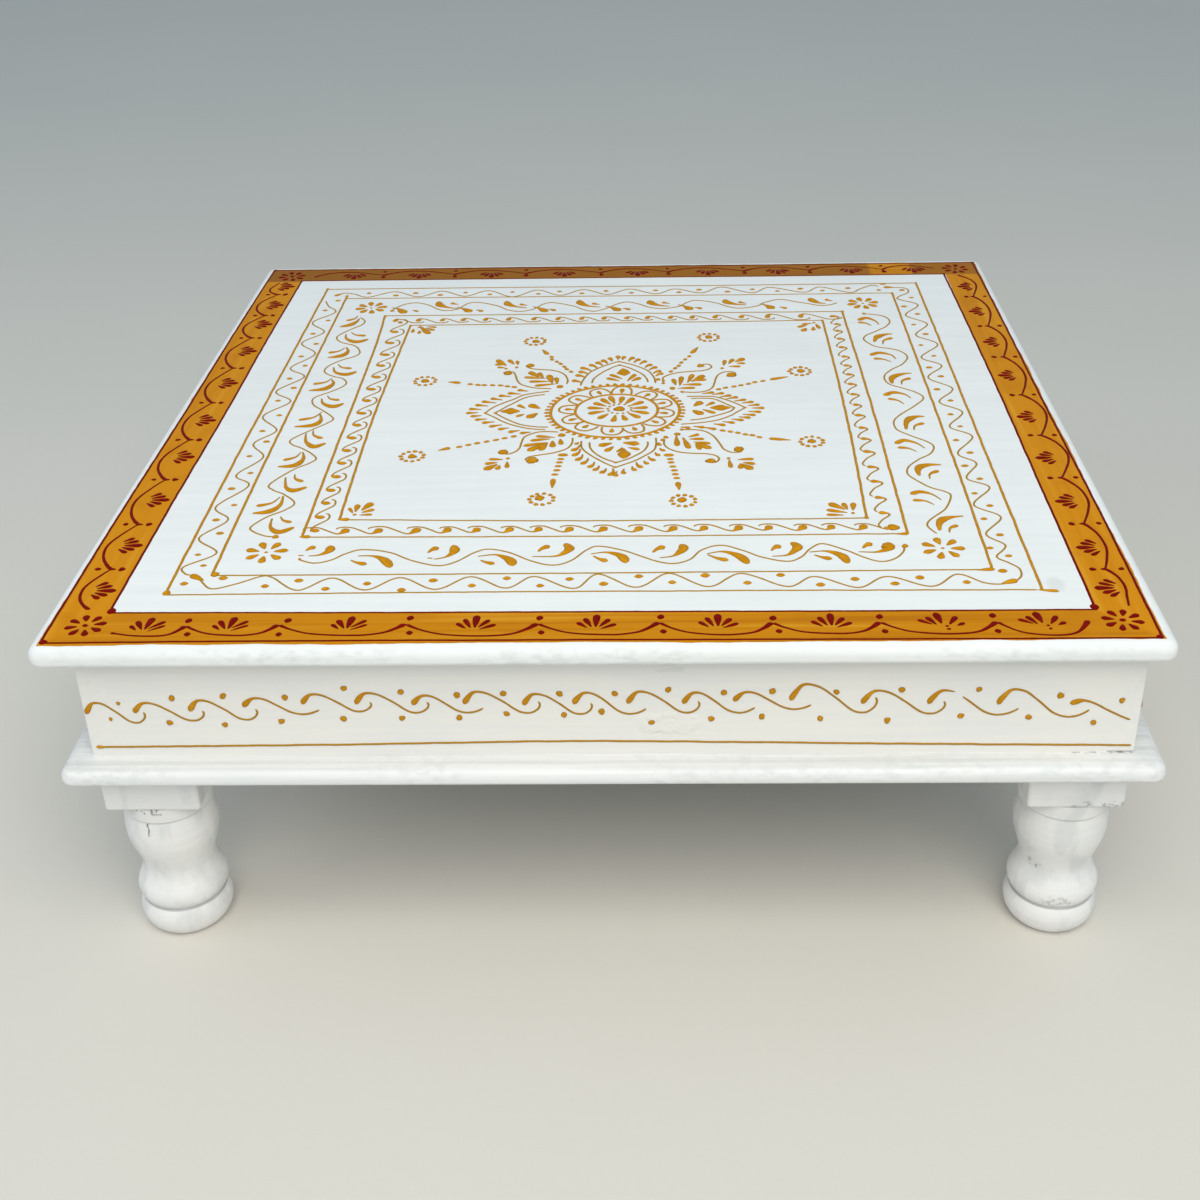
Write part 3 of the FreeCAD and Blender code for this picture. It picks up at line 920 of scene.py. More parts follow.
waves = Piping(off_square)
wave_paths = (
    [
        (-235, -224), (-231, -227.5), (-228, -230), (-219, -239.5), (-206, -234), (-194, -226),
        (-187, -227.5), (-170, -242), (-153, -228.5), (-132, -242), (-114.5, -228.5), (-92.5, -241.8),
        (-74, -228), (-53, -241), (-38, -228.3), (-15, -242), (-2, -226), (20, -241.2), (38, -225.8),
        (60, -241), (79, -226.5), (104, -241.3), (120, -230.5), (143, -243), (160.5, -231), (184, -242.3),
        (200, -229), (214, -239), (224, -240), (229.5, -236),
    ],
    [
        (230.5, -238), (235.4, -231.5), (235.8, -223), (231.1, -216.7), (225.6, -209), (233, -196),
        (224, -182), (236.5, -161), (223, -145), (236.5, -122), (224.5, -109), (234, -88), (224.5, -73),
        (238, -48), (225.5, -32), (237.5, -9), (224.5, 8.5), (237, 31), (222.8, 51), (235.5, 73),
        (223, 89), (238.5, 114), (225, 133), (236.5, 156), (222.5, 175), (235, 197), (220.5, 212),
        (231, 226), (229, 236), (215, 238),
    ],
    [
        (209, 240.5), (203, 243), (193, 235), (184, 227), (161, 240.5), (147, 229), (120, 241),
        (105, 229), (81, 243), (64, 230), (43, 240), (27, 229), (6, 241), (-12, 229), (-32, 241),
        (-50, 228), (-70, 241), (-89, 226), (-110, 241), (-128, 228.5), (-148, 241), (-166, 228.5),
        (-187, 241), (-207, 229), (-219, 236), (-228, 239), (-234, 234),
    ],
    [
        (-240.5, 221), (-236, 209), (-228, 195), (-242, 173), (-229, 152), (-242, 130), (-227.5, 108),
        (-240.5, 81), (-227, 64), (-242, 38), (-228, 20), (-242, -5), (-227.5, -28), (-238.5, -49),
        (-227.5, -70), (-239, -96), (-227.5, -111), (-241.5, -140), (-229.5, -157), (-241.5, -180),
        (-226.5, -198), (-241.5, -214), (-239, -222), (-235, -224),
    ],
)
for path in wave_paths:
    waves.line(path, gold_line)
for start, end, bead in (
    ((-234.2, -224.2), (-225.8, -230.4), 2.5), ((231.4, -236.4), (222.5, -240), 2.4),
    ((213.5, 238), (221, 238), 2.0), ((-235, 233), (-230, 238), 1.8),
):
    waves.drop(start, end, bead)
wave_dots = (
    (-215.5, -227.5), (-171.5, -231), (-132, -235), (-95, -232), (-53.5, -230), (-18, -231.5), (21, -229),
    (58.5, -228.5), (101, -228.5), (142.3, -233.7), (178.5, -232.5), (-236.2, -233.6), (-189.5, -237),
    (-154.5, -240.5), (-111.5, -242.5), (-72.5, -238), (-34, -238.5), (1.5, -237), (40, -236), (82, -237),
    (122.5, -239.5), (164, -239), (204, -238), (226, -225.8), (223.5, -199), (226, -163.3), (226, -130),
    (226, -91.5), (226.5, -53.5), (229, -12.5), (226, 30), (226, 69.5), (226, 112.5), (226, 154.5),
    (223.5, 194), (226.5, 231), (232.5, -208.5), (232, -183.5), (232.5, -146.5), (232.5, -110),
    (232.5, -72.5), (232.5, -32), (232.5, 10.5), (232, 53), (232.5, 91.5), (232.5, 134.5), (232, 177),
    (232, 213.5), (213, 246), (183.5, 237), (145, 237), (106, 237), (62.5, 237.5), (27, 237),
    (-13.5, 237), (-51.5, 237), (-90, 237), (-128.5, 237), (-169.5, 237), (-208, 238), (208, 232),
    (162.5, 232), (126, 232), (85.5, 232), (46, 232), (7.5, 232), (-33, 232), (-68.5, 232), (-108, 232),
    (-148.5, 232), (-185, 232), (-237, 199.5), (-237, 149), (-237, 103), (-237, 61), (-237, 21.5),
    (-237, -29), (-237, -68), (-237.5, -115), (-237, -157), (-237, -200), (-230.5, 221.5), (-230.5, 177),
    (-230.5, 128), (-230.5, 85), (-230.5, 44), (-231, -3.5), (-230.5, -46), (-230.5, -93),
    (-230.5, -137.5), (-230.5, -174), (-230.5, -213),
)
front_edge = -215
for x, y in wave_dots:
    bead, reach_share = (2.1, 1.2) if y < front_edge else (1.5, 1.5)
    waves.dash(x, y, (1, 0.05), bead + 0.15 * math.sin(x + 3 * y), reach_share)
waves.lay("gold_waves", gold_paint, "gold_line_paint", on_board, Seed=3.0, Step=1.2 * MM)


# Vine band: a slower wave with leaves in its bends. In each bend lie a large curved leaf
# with a drawn out tail, and a small one behind it. A flower of eight petals fills each corner.

vines = Piping(off_square)
vine_paths = (
    [
        (-177, -206.5), (-167, -211), (-158, -208), (-150, -200), (-141, -195.5), (-125, -199),
        (-110, -209), (-95, -215), (-85, -211), (-75, -200), (-67, -196), (-55, -200), (-40, -211),
        (-28, -215.5), (-18, -210), (-10, -198), (-3, -193.5), (12, -199), (30, -211), (41, -214.5),
        (50, -210), (57, -199), (68, -193.5), (80, -199), (92, -208), (106, -213), (114, -208),
        (121, -197), (128, -192.5), (140, -200), (150, -209), (159, -214), (167, -211), (173, -203),
        (174.5, -197),
    ],
    [
        (195.5, -181.5), (191.5, -172), (194, -164), (205, -150), (211, -133), (208, -127), (200, -121),
        (192, -110), (188.5, -101), (191, -91), (198, -82), (207, -73), (210.5, -62), (207, -55),
        (198, -46), (191, -38), (189, -31), (190, -21), (196, -11), (205, 0), (214.5, 15), (210, 26),
        (202, 33), (194, 40), (191.5, 49), (193, 58), (199, 67), (208, 77), (213, 90), (210, 100),
        (203, 106), (192, 111), (185, 124), (187, 133), (195, 141), (204, 151), (208.5, 161), (207, 170),
        (201, 176), (190, 179),
    ],
    [
        (172, 204), (165, 199), (157, 198.5), (150, 202), (140, 207), (127, 213), (115, 207), (108, 199),
        (95, 194), (85, 198), (75, 207), (60, 213), (52, 208), (46, 200), (33, 195), (22, 199), (14, 206),
        (5, 211), (-3, 207), (-12, 197), (-21, 191), (-30, 195), (-38, 203), (-55, 211.5), (-63, 208),
        (-70, 197), (-80, 192.5), (-90, 196), (-100, 206), (-116, 214), (-124, 211), (-131, 199),
        (-140, 196), (-147, 200), (-155, 209), (-166, 214.5), (-175, 211), (-181, 203), (-183, 197),
    ],
    [
        (-206, 183), (-201, 175), (-202, 167), (-208, 159), (-215, 148), (-217, 140), (-212, 131),
        (-200, 123), (-194, 110), (-197, 102), (-205, 95), (-212, 86), (-214.5, 77), (-212, 70),
        (-205, 64), (-198, 60), (-194, 52), (-196, 45), (-203, 36), (-211, 28), (-213, 22), (-210, 13),
        (-202, 4), (-192.5, -9), (-195, -17), (-203, -27), (-214.5, -43), (-212, -51), (-203, -58),
        (-192.5, -71), (-195, -79), (-204, -89), (-214.5, -109), (-211, -117), (-202, -124),
        (-193.5, -135), (-197, -144), (-207, -154), (-213.5, -166), (-211, -172), (-203, -177.5),
        (-196, -179),
    ],
)
for path in vine_paths:
    vines.line(path, gold_line)
for x, y, bead in (
    (175, -196, 2.2), (-182.8, 196.8, 1.7), (-196, -179, 2.2), (190.5, 179, 1.6), (-176, -206.2, 1.1),
):
    vines.dot(x, y, bead)
# Front leaves: a thin tail, then a full half moon.
front_leaves = (
    ((-172, -202.6), (-166, -201.6), (-161.5, -198), (-160.4, -194), (-161.3, -190.3)),
    ((-98, -207.6), (-91.5, -205), (-88, -200.5), (-87, -196), (-88.8, -191)),
    ((-41.3, -204.9), (-28, -205), (-22.5, -200.8), (-19.8, -195.3), (-23.3, -190)),
    ((32.5, -207.9), (40, -206), (44, -201.6), (46.6, -196.2), (44.6, -192)),
    ((97, -207), (105.5, -206), (110, -201.5), (112.8, -195.6), (109.2, -190.6)),
    ((147, -202.3), (156.5, -203), (163, -200.6), (166.4, -196.6), (164.2, -191.8)),
    ((-143, -203), (-135, -203), (-129, -205.6), (-124.6, -210.4), (-121.6, -217)),
    ((-73, -204.5), (-63, -202.8), (-57, -206), (-52.8, -210.5), (-51.5, -216)),
    ((-7.7, -202.7), (1, -200.8), (8, -203.2), (12.2, -208), (13.2, -213.6)),
    ((59.5, -203.7), (68, -201), (75, -203.4), (80.2, -208.6), (83.2, -215.6)),
    ((119, -202.4), (127.5, -201.3), (134, -203.6), (138.3, -208.6), (140.2, -215.8)),
)
vines.dot(164.8, -196.3, 4.3)
# Right leaves that hang down: a fat inner end and a long thin tail.
hanging_leaves = (
    ((204.7, -138.6), (199.7, -130.5), (192.5, -127.3), (186.7, -130.3)),
    ((204.5, -65.5), (200.2, -57.5), (192.3, -53), (186.2, -58)),
    ((206, 15), (202.5, 22), (194.5, 25.2), (188, 20.2)),
    ((204, 86), (201.5, 94), (193, 98.3), (186.2, 93.8)),
    ((199.5, 155), (197.5, 163.5), (191, 169.5), (184.5, 164.8)),
)
# Right leaves that stand up: full at the shoulder, with a thin arm outwards.
standing_leaves = (
    ((197.7, -177.5), (198.6, -169.5), (201.3, -164), (207.5, -160.8), (214.9, -159.3)),
    ((195.5, -105), (195.6, -97.5), (198, -92), (205, -89.6), (212, -90)),
    ((196, -36), (197.6, -25), (200.8, -18.5), (206.5, -15.4), (211.5, -15.5)),
    ((196, 41), (196.4, 48.5), (199, 54), (206, 58.4), (212.5, 59.5)),
    ((192, 120), (194, 127), (196.8, 131.5), (202.5, 134.8), (208, 136)),
)
# Back leaves: short and full.
back_outer_leaves = (
    ((-130, 200), (-139.5, 203.5), (-146, 208.8), (-148, 216.5)),
    ((-75, 200), (-84.5, 203.5), (-91, 208.8), (-93, 215.5)),
    ((-16, 200), (-25.5, 202.5), (-32.5, 208.8), (-34.5, 216)),
    ((39, 200), (30.5, 202.5), (24, 207.6), (22, 213.5)),
    ((100, 201), (91.5, 203), (84.5, 207.6), (82.5, 213.5)),
    ((163, 202.5), (157.5, 204), (153, 209), (150.5, 215)),
)
back_inner_leaves = (
    ((-184, 204), (-178.5, 201), (-174.5, 195.5), (-171, 191.5)),
    ((-132, 204), (-126.5, 200), (-121.8, 195.5), (-119.5, 192)),
    ((-71, 203), (-66, 199.5), (-61, 194), (-58.5, 191)), ((-13, 203), (-8, 199), (-3.2, 194), (-1, 191)),
    ((45, 204), (50, 200), (54, 195), (56.5, 192)), ((110, 204), (115, 200), (118.8, 195), (121, 192)),
)
# Left leaves: drawn out thin to both ends.
left_outer_leaves = (
    ((-206.5, 181), (-207.5, 174), (-212, 166.5), (-219, 163)),
    ((-206.5, 121), (-203.5, 112), (-207, 103.5), (-217, 100)),
    ((-206, 59), (-203.5, 51), (-208, 41.5), (-219, 39)),
    ((-203, -1), (-200.5, -12), (-204.5, -20.5), (-217, -22.5)),
    ((-203, -62), (-200.5, -73), (-204.5, -82.5), (-215, -84)),
    ((-202.5, -125), (-202, -138), (-207, -146.5), (-217, -148.5)),
)
left_inner_leaves = (
    ((-211, 148), (-209, 138), (-200, 131), (-192, 136.5)),
    ((-209, 82), (-205.5, 72), (-197, 67.5), (-190, 73)),
    ((-207, 25), (-204, 16), (-196, 10.5), (-189.5, 16)),
    ((-206.5, -33), (-204, -46), (-197, -54.5), (-190, -49)),
    ((-206.5, -99), (-203.5, -113), (-197.5, -118.5), (-190, -113.5)),
    ((-203, -155), (-201.5, -167), (-195, -173), (-187, -167)),
)
# Every kind of large leaf: the half width of its belly and its shares along the leaf.
large_leaves = (
    (3.1, (0.17, 0.26, 0.66, 1.0, 0.52), front_leaves),
    (2.15, (0.22, 0.42, 0.92, 1.0), hanging_leaves),
    (2.9, (0.32, 0.68, 1.0, 0.50, 0.17), standing_leaves),
    (3.3, (0.17, 0.40, 1.0, 0.62), back_outer_leaves),
    (3.5, (0.16, 0.38, 1.0, 0.86), back_inner_leaves),
    (2.6, (0.22, 0.55, 1.0, 0.24), left_outer_leaves),
    (2.5, (0.22, 0.50, 1.0, 0.42), left_inner_leaves),
)
for bead, bead_shares, leaves in large_leaves:
    for leaf in leaves:
        vines.leaf(leaf, bead, bead_shares)
small_leaves = (
    (
        2.85, 0.12,
        (
            ((-174.6, -196.7), (-169.4, -191.8)), ((-102.4, -200.2), (-96.6, -193.8)),
            ((-38.1, -199.4), (-31.6, -193)), ((28.6, -201.6), (35.8, -194.6)),
            ((97.2, -200.7), (103.2, -194.6)), ((150.3, -198.5), (156.4, -192.6)),
        ),
    ),
    (
        2.25, -0.06,
        (
            ((-146.3, -207.6), (-136, -213)), ((-71, -208.5), (-62, -213.5)),
            ((-6, -204.7), (2.9, -211.1)), ((60.2, -204.3), (72.2, -211.4)),
            ((121.5, -205.5), (131.5, -210.5)),
        ),
    ),
    (
        1.7, -0.17,
        (
            ((199.6, -144.8), (186.8, -138.6)), ((198.8, -70.4), (186.8, -64)),
            ((199.8, 5), (189.6, 14.6)), ((200.4, 80.4), (187.8, 87)), ((193.8, 152.6), (184, 160.6)),
        ),
    ),
    (
        1.8, 0.22,
        (
            ((203.1, -180.4), (209.6, -171.5)), ((201.5, -110), (208.8, -98.6)),
            ((201, -37.5), (209.4, -26.6)), ((202.5, 38.6), (210.4, 50.2)),
            ((198, 114.5), (206.8, 127.2)),
        ),
    ),
    (
        2.2, 0.08,
        (
            ((-131, 210), (-137.5, 213)), ((-75, 206), (-81.5, 209)), ((-17, 206), (-23.5, 209)),
            ((39, 206.5), (32.5, 209.6)), ((100, 205), (93.5, 208.5)), ((169, 208), (163, 212)),
            ((-167, 198), (-162, 194)), ((-116, 197), (-110, 193)), ((-58, 197), (-52, 193)),
            ((1, 197), (7, 193)), ((58, 197), (64, 193.4)), ((125, 196), (131, 192)),
        ),
    ),
    (
        1.7, 0.2,
        (
            ((-208.5, 187.5), (-216, 176.5)), ((-207, 120), (-218, 110)), ((-206, 62), (-218, 50.6)),
            ((-202, 2.5), (-216, -11.4)), ((-204, -62), (-213.5, -74.4)),
            ((-204, -126.5), (-216.5, -138.6)),
        ),
    ),
    (
        1.7, -0.18,
        (
            ((-208, 152), (-195, 144)), ((-207, 88), (-195, 79)), ((-204, 30), (-193.5, 21.5)),
            ((-202.5, -28), (-193.6, -41.5)), ((-201.5, -94.5), (-194, -105.8)),
            ((-198.5, -152.5), (-190, -160.4)),
        ),
    ),
)
for bead, bend, leaves in small_leaves:
    for tail, head in leaves:
        vines.comma(tail, head, bead, bend)
for start, end in (((-178, -202), (-174, -202)), ((-102, -206), (-98, -206.5))):
    vines.line([start, end], 0.6)
corner_flowers = ((-197.4, -197.8, 7, 11), (196.4, -199, 7, -2), (-200.6, 204, 8, 11), (192, 202, 8, 11))
for x, y, count, degrees in corner_flowers:
    vines.dash(x, y, (1, 0.1), 1.1)
    first = math.radians(degrees)
    for fat, tip in zip(around(x, y, 11.6, 11.6, count, first), around(x, y, 4.2, 4.2, count, first)):
        vines.drop(fat, tip, 2.35)
vines.lay("gold_vines", gold_paint, "gold_line_paint", on_board, Seed=4.0)


# Scroll band: a row of running scrolls between the two inner squares. Each one curls round
# the bulb of the one before, crosses the band and ends in a bulb of its own.

scrolls = Piping(off_square)
curl = (
    (-0.25, -1.0), (-0.235, -3.4), (-0.05, -4.9), (0.2, -4.4), (0.46, -0.4), (0.68, 3.1),
    (0.84, 4.4), (0.95, 3.8), (1.0, 1.2), (1.0, -1.8),
)
flat_curl = (
    (-0.26, -0.6), (-0.235, -2.2), (-0.05, -3.3), (0.2, -2.8), (0.46, 0.4), (0.68, 3.6),
    (0.84, 4.8), (0.95, 3.2), (1.04, 1.0), (1.14, -0.5),
)
hook = (
    (0.10, -3.5), (0.26, -5.0), (0.54, -2.6), (0.70, -0.2), (0.84, 2.4), (0.95, 3.3),
    (1.02, 1.8), (1.05, -0.6), (1.06, -2.4), (1.06, -3.4),
)
curl_bead_shares = (0.95, 0.95, 0.95, 0.95, 0.95, 0.95, 1.0, 1.9, 3.1, 2.6)
flat_bead_shares = (0.9, 0.9, 0.95, 0.95, 0.95, 0.95, 1.1, 2.4, 4.5, 3.7)
hook_bead_shares = (0.9, 0.9, 0.9, 0.9, 1.0, 1.1, 1.6, 2.6, 3.0, 2.7)
bulbs = {
    "front": (
        171.0,
        (
            -176, -156, -136, -113.5, -94.5, -77, -57.5, -40, -21.5, -1.5, 19.5, 40, 58.5, 79, 97, 117,
            134, 153, 170,
        ),
    ),
    "right": (
        167.5,
        (
            -175, -155.5, -135.5, -113.5, -93, -70.5, -51, -33.5, -13.5, 4, 22, 40, 57.5, 74, 91, 109,
            126, 142.5, 156.5, 173,
        ),
    ),
    "back": (
        174.2,
        (
            -166, -141, -115, -94.5, -74, -56, -39, -21, -5, 13, 30.5, 49, 68, 88, 106, 123.5, 140, 159,
            177,
        ),
    ),
    "left": (
        172.6,
        (
            -172, -151, -128, -104.5, -83.5, -62, -40, -20, 1.5, 21, 41.5, 61, 80, 99.5, 118.5, 136,
            154.5, 171.5,
        ),
    ),
}
scroll_forms = {
    "front": (flat_curl, flat_bead_shares),
    "right": (hook, hook_bead_shares),
    "back": (curl, curl_bead_shares),
    "left": (curl, curl_bead_shares),
}
for side, (middle, places) in bulbs.items():
    shape, shape_beads = scroll_forms[side]
    for here, beyond in zip(places, places[1:]):
        pitch = beyond - here
        run = [on_side(side, here + share * pitch, middle + out * pitch / 19.7) for share, out in shape]
        scrolls.stroke(run, [0.7 * share for share in shape_beads])
    scrolls.dot(*on_side(side, places[0] + 1, middle), 2.0)
scrolls.dot(171.4, -173.4, 3.7)
scrolls.lay("gold_scrolls", gold_paint, "gold_line_paint", on_board, Seed=5.0)


# Corner fans: five drops and a dot inside each corner of the innermost square.

corner_fans = Piping(off_square)
fan_drops = (
    ((-158, -143), (-155, -149), 1.3), ((-153.5, -139), (-153.5, -147), 1.9),
    ((-145.5, -137), (-149.5, -145), 2.6), ((-143, -145), (-149, -148.5), 1.8),
    ((-143, -151.5), (-150, -152), 1.3), ((150.5, -142), (149.5, -150), 2.0),
    ((144.5, -142), (146, -149), 1.8), ((136.5, -142.5), (144, -149), 2.6),
    ((134, -150.5), (144.5, -153.5), 1.8), ((133.5, -156.5), (142.5, -157), 1.5),
    ((-160, 150), (-160, 157), 1.5), ((-154.5, 147.5), (-155, 153), 1.7), ((-147, 147), (-155, 161), 2.6),
    ((-144, 154), (-150, 158), 1.8), ((-143, 160), (-150, 161), 1.4), ((153.5, 149), (151.5, 158), 1.6),
    ((148.5, 145.5), (149, 152), 1.8), ((140.5, 144), (143, 149), 2.6), ((137.5, 152), (144, 156), 1.8),
    ((141, 158), (148, 159.5), 1.4),
)
for fat, tip, bead in fan_drops:
    corner_fans.drop(fat, Vector(fat).lerp(Vector(tip), 1.15), bead)
for x, y in ((-153.5, -151.5), (149, -154.5), (-156.5, 160), (150, 161)):
    corner_fans.dot(x, y, 1.2)
corner_fans.lay("gold_corner_fans", gold_paint, "gold_line_paint", on_board, Seed=6.0)


# Mandala: a rosette of fourteen drops in a ring of twelve loops, then a larger ring edged
# with beads. It is the middle of the top's pattern, and everything round it grows from it.

mandala = Piping(off_square)


def ring(piping, x, y, radius_x, radius_y, bead, count=64):
    """A closed line round a middle."""
    piping.stroke(around(x, y, radius_x, radius_y, count), [bead] * count, closed=True)


heart_x, heart_y = 4, 2
mandala.dot(heart_x, heart_y, 4.0)
for x, y in around(heart_x, heart_y, 8.2, 7.8, 13, 0.2):
    mandala.dot(x, y, 1.1)
rosette_ends = (
    (5.5, 22), (13, 20), (20, 13.5), (23, 4), (24, -6), (18, -13), (9, -17),
    (0, -19), (-10, -14), (-17, -5.5), (-18, 4), (-14, 12), (-9, 19), (-3, 23),
)
rosette_middle = Vector((3, 1.5))
for x, y in rosette_ends:
    away = Vector((x - 3, y - 1.5))
    fat = rosette_middle + away * (1 - 0.5 / away.length)
    mandala.drop(fat, rosette_middle + away.normalized() * 9.4, 2.2)
ring(mandala, 2, -0.2, 28.4, 27, 1.05)
loop_shares = (
    (-1, 0), (-0.98, 0.45), (-0.72, 0.84), (-0.3, 1), (0.3, 1), (0.72, 0.84), (0.98, 0.45), (1, 0),
)
back_loop = 85
loop_foot, half_loop = 27.6, 7.0
loops_middle = Vector((2, -0.6))
for angle in (back_loop, 113, 145, 176, 206, 232, 266, 293, 324, 351, 20, 51):
    turn = math.radians(angle)
    away, beside = Vector((math.cos(turn), math.sin(turn))), Vector((-math.sin(turn), math.cos(turn)))
    reach, drop_reach = (13.5, 36.5) if angle == back_loop else (12.0, 35.2)
    loop = []
    for across, out in loop_shares:
        loop.append(loops_middle + away * (loop_foot + out * reach) + beside * across * half_loop)
    mandala.line(loop, 0.82)
    mandala.drop(loops_middle + away * drop_reach, loops_middle + away * 29.2, 1.75)
ring(mandala, 1, -1.2, 44.3, 43.1, 1.1, 80)
for step in range(55):
    turn = 2 * math.pi * step / 55
    away = Vector((math.cos(turn), math.sin(turn)))
    spot = Vector((1 + 46.8 * away.x, -1.2 + 45.6 * away.y))
    slant = away + Vector((math.copysign(0.7, away.x), 0))
    mandala.dash(spot.x, spot.y, slant, 1.4 + 0.14 * math.sin(5 * step), 1.4)
mandala.lay("gold_mandala", gold_paint, "gold_line_paint", on_board, Seed=7.0, Step=0.9 * MM)


# Petals: four pointed petals round the mandala, each a double line with a fringe of drops
# outside it and a sprig of leaves inside.

petals = Piping(off_square)
petal_lines = (
    [(-20, -49), (-19, -60), (-13, -71), (-5, -81), (3.5, -89.5)],
    [(3.5, -89.5), (15, -81), (22, -73), (29, -62), (29.5, -45)],
    [(-14.5, -51), (-13, -62), (-6, -74), (4, -82.5)],
    [(4, -82.5), (13, -76), (21, -66), (24, -57), (24, -51)],
    [(-25, 43), (-23, 56), (-18, 69), (-8, 80), (1, 87)],
    [(1, 87), (12, 80), (22, 70), (27, 58), (28.5, 46)],
    [(-17, 47), (-16, 55), (-10, 67), (-3, 76), (2, 80)],
    [(2, 80), (10, 74), (18, 64), (22, 55), (23, 48)],
    [(-46.5, 33.5), (-58, 30), (-65.3, 26.3), (-70.4, 20.3), (-77.5, 13.7), (-84.3, 5.7), (-88.6, -3)],
    [(-88.6, -3), (-81, -10.6), (-74.6, -17.5), (-69.3, -22), (-61.2, -27), (-53, -30), (-44.7, -31)],
    [(-49, 27.8), (-57, 25.6), (-63.8, 21.6), (-69.8, 13.7), (-75, 7), (-78.5, 1.7), (-81.8, -3)],
    [
        (-81.8, -3), (-75.2, -10.6), (-69.8, -16.2), (-64.8, -20.6), (-59.8, -23.7), (-50.7, -26.5),
        (-43, -27),
    ],
    [(50, 22), (62, 22), (70, 21), (80, 14), (90.5, 2)],
    [(90.5, 2), (84, -6), (80, -11), (71, -18), (60, -22), (46, -24.5)],
    [(53, 18.5), (65, 18.5), (72, 15), (83, 2)],
    [(83, 2), (81, -3), (76, -7), (68, -12), (60, -16), (52, -18)],
)
fine_line = 0.72
for path in petal_lines:
    petals.line(path, fine_line)
for x, y in ((3.6, -89.3), (4, -82.3), (1, 86.8), (2, 79.7), (-88.3, -3), (-81.5, -3), (90.3, 2), (82.8, 2)):
    petals.dot(x, y, 1.3)
bottom_fringe = (
    ((-21.5, -51), (-24, -54)), ((-20.5, -54.5), (-25.6, -63.5)), ((-20, -61), (-24.5, -71)),
    ((-18, -69), (-22, -78)), ((-14.3, -75), (-18.3, -83.5)), ((-10, -80.5), (-13.8, -88.5)),
    ((-6.8, -86), (-10.2, -93.2)), ((-2, -90), (-5.6, -97)), ((2.1, -90), (-0.3, -100.3)),
    ((5, -94.5), (5, -101.8)), ((9.5, -91), (10, -98.3)), ((14.5, -87.5), (17, -93.8)),
    ((17, -81.5), (21, -89.3)), ((22, -79.5), (24.8, -84.5)), ((24.5, -73), (29, -79.5)),
    ((29, -67), (32, -72.3)), ((32, -61), (35.3, -65.3)), ((31.5, -52), (32.8, -57)),
)
top_fringe = (
    ((-24, 47.5), (-31, 51.5)), ((-22, 57), (-29, 61.5)), ((-20, 63), (-27, 68)), ((-18, 69), (-26, 75)),
    ((-14, 74), (-20, 80.5)), ((-10.5, 79), (-15.5, 85)), ((-7, 82.5), (-11.5, 89)),
    ((-4, 87), (-6.5, 93.5)), ((0, 90.5), (-0.5, 97)), ((4, 90), (5.5, 96)), ((8.5, 87), (12, 94)),
    ((12.5, 84), (16.5, 90.5)), ((16.5, 80.5), (21.5, 86.5)), ((20.5, 74.5), (25.5, 80)),
    ((23.5, 69.5), (29, 75)), ((26.5, 63.5), (32, 68)), ((28.5, 58.5), (33.5, 63.5)),
    ((27.5, 49), (31.5, 53)),
)
left_fringe = (
    ((-61.3, 33.7), (-68.6, 36)), ((-66, 28.8), (-75, 30.5)), ((-72.4, 24.6), (-81, 26.3)),
    ((-78, 18.7), (-86.3, 21.5)), ((-82, 13.8), (-92, 16.5)), ((-87, 8.7), (-96, 10.5)),
    ((-91.3, 3), (-99.7, 4)), ((-93, -2.2), (-101, -3)), ((-90, -7), (-97.3, -8.5)),
    ((-86, -12.5), (-93.6, -14)), ((-80, -17.5), (-88.3, -19)), ((-74.6, -22.5), (-83, -25.2)),
    ((-69.5, -27.5), (-76.6, -30)), ((-61.8, -31.7), (-69.2, -34.5)), ((-54.3, -34.5), (-61.3, -36.5)),
)
right_fringe = (
    ((61, 26.5), (69, 28.5)), ((68, 24.8), (76, 27)), ((73, 20.5), (81, 23)), ((77.5, 17), (85.5, 20)),
    ((83, 13), (91, 15.5)), ((88, 9.5), (96, 11.5)), ((92, 5.2), (100, 6.5)), ((94.5, 1.2), (103, 1)),
    ((92, -4), (100.5, -5.5)), ((88, -9), (96.5, -10.5)), ((85, -13), (93, -15)),
    ((80, -16.5), (88, -19)), ((74, -20.5), (82, -23)), ((67.5, -24), (75.5, -26.5)),
    ((61, -29.5), (69, -33)), ((54, -27.5), (61.5, -30)), ((45.5, -28.5), (52, -30.5)),
)
for fringe, bead, bend in (
    (bottom_fringe, 2.15, 0.14), (top_fringe, 2.5, -0.12), (left_fringe, 2.25, 0.0),
    (right_fringe, 2.2, 0.0),
):
    for thin, fat in fringe:
        way = -1 if fat[0] > 3.5 else 1
        petals.comma(thin, Vector(thin).lerp(Vector(fat), 1.1), bead, bend * way)
buds = (
    [((8, -61), 0.8), ((8.6, -66), 2.4), ((9, -70), 4.4), ((8.7, -74), 2.6), ((8.4, -77), 0.4)],
    [((6, 60), 0.8), ((5.6, 64), 2.4), ((5.2, 67.5), 4.2), ((4.8, 71), 2.4), ((4.4, 74), 0.4)],
    [
        ((-64.5, -0.5), 0.6), ((-68, -0.5), 3.0), ((-71, -0.4), 5.0), ((-74.5, -0.5), 2.8),
        ((-78.5, -0.5), 0.4),
    ],
    [((66, 2.5), 0.6), ((70, 2.3), 2.8), ((74, 2.1), 4.6), ((77.5, 2), 2.5), ((81, 2), 0.4)],
)
for bud in buds:
    petals.stroke([place for place, bead in bud], [bead for place, bead in bud])
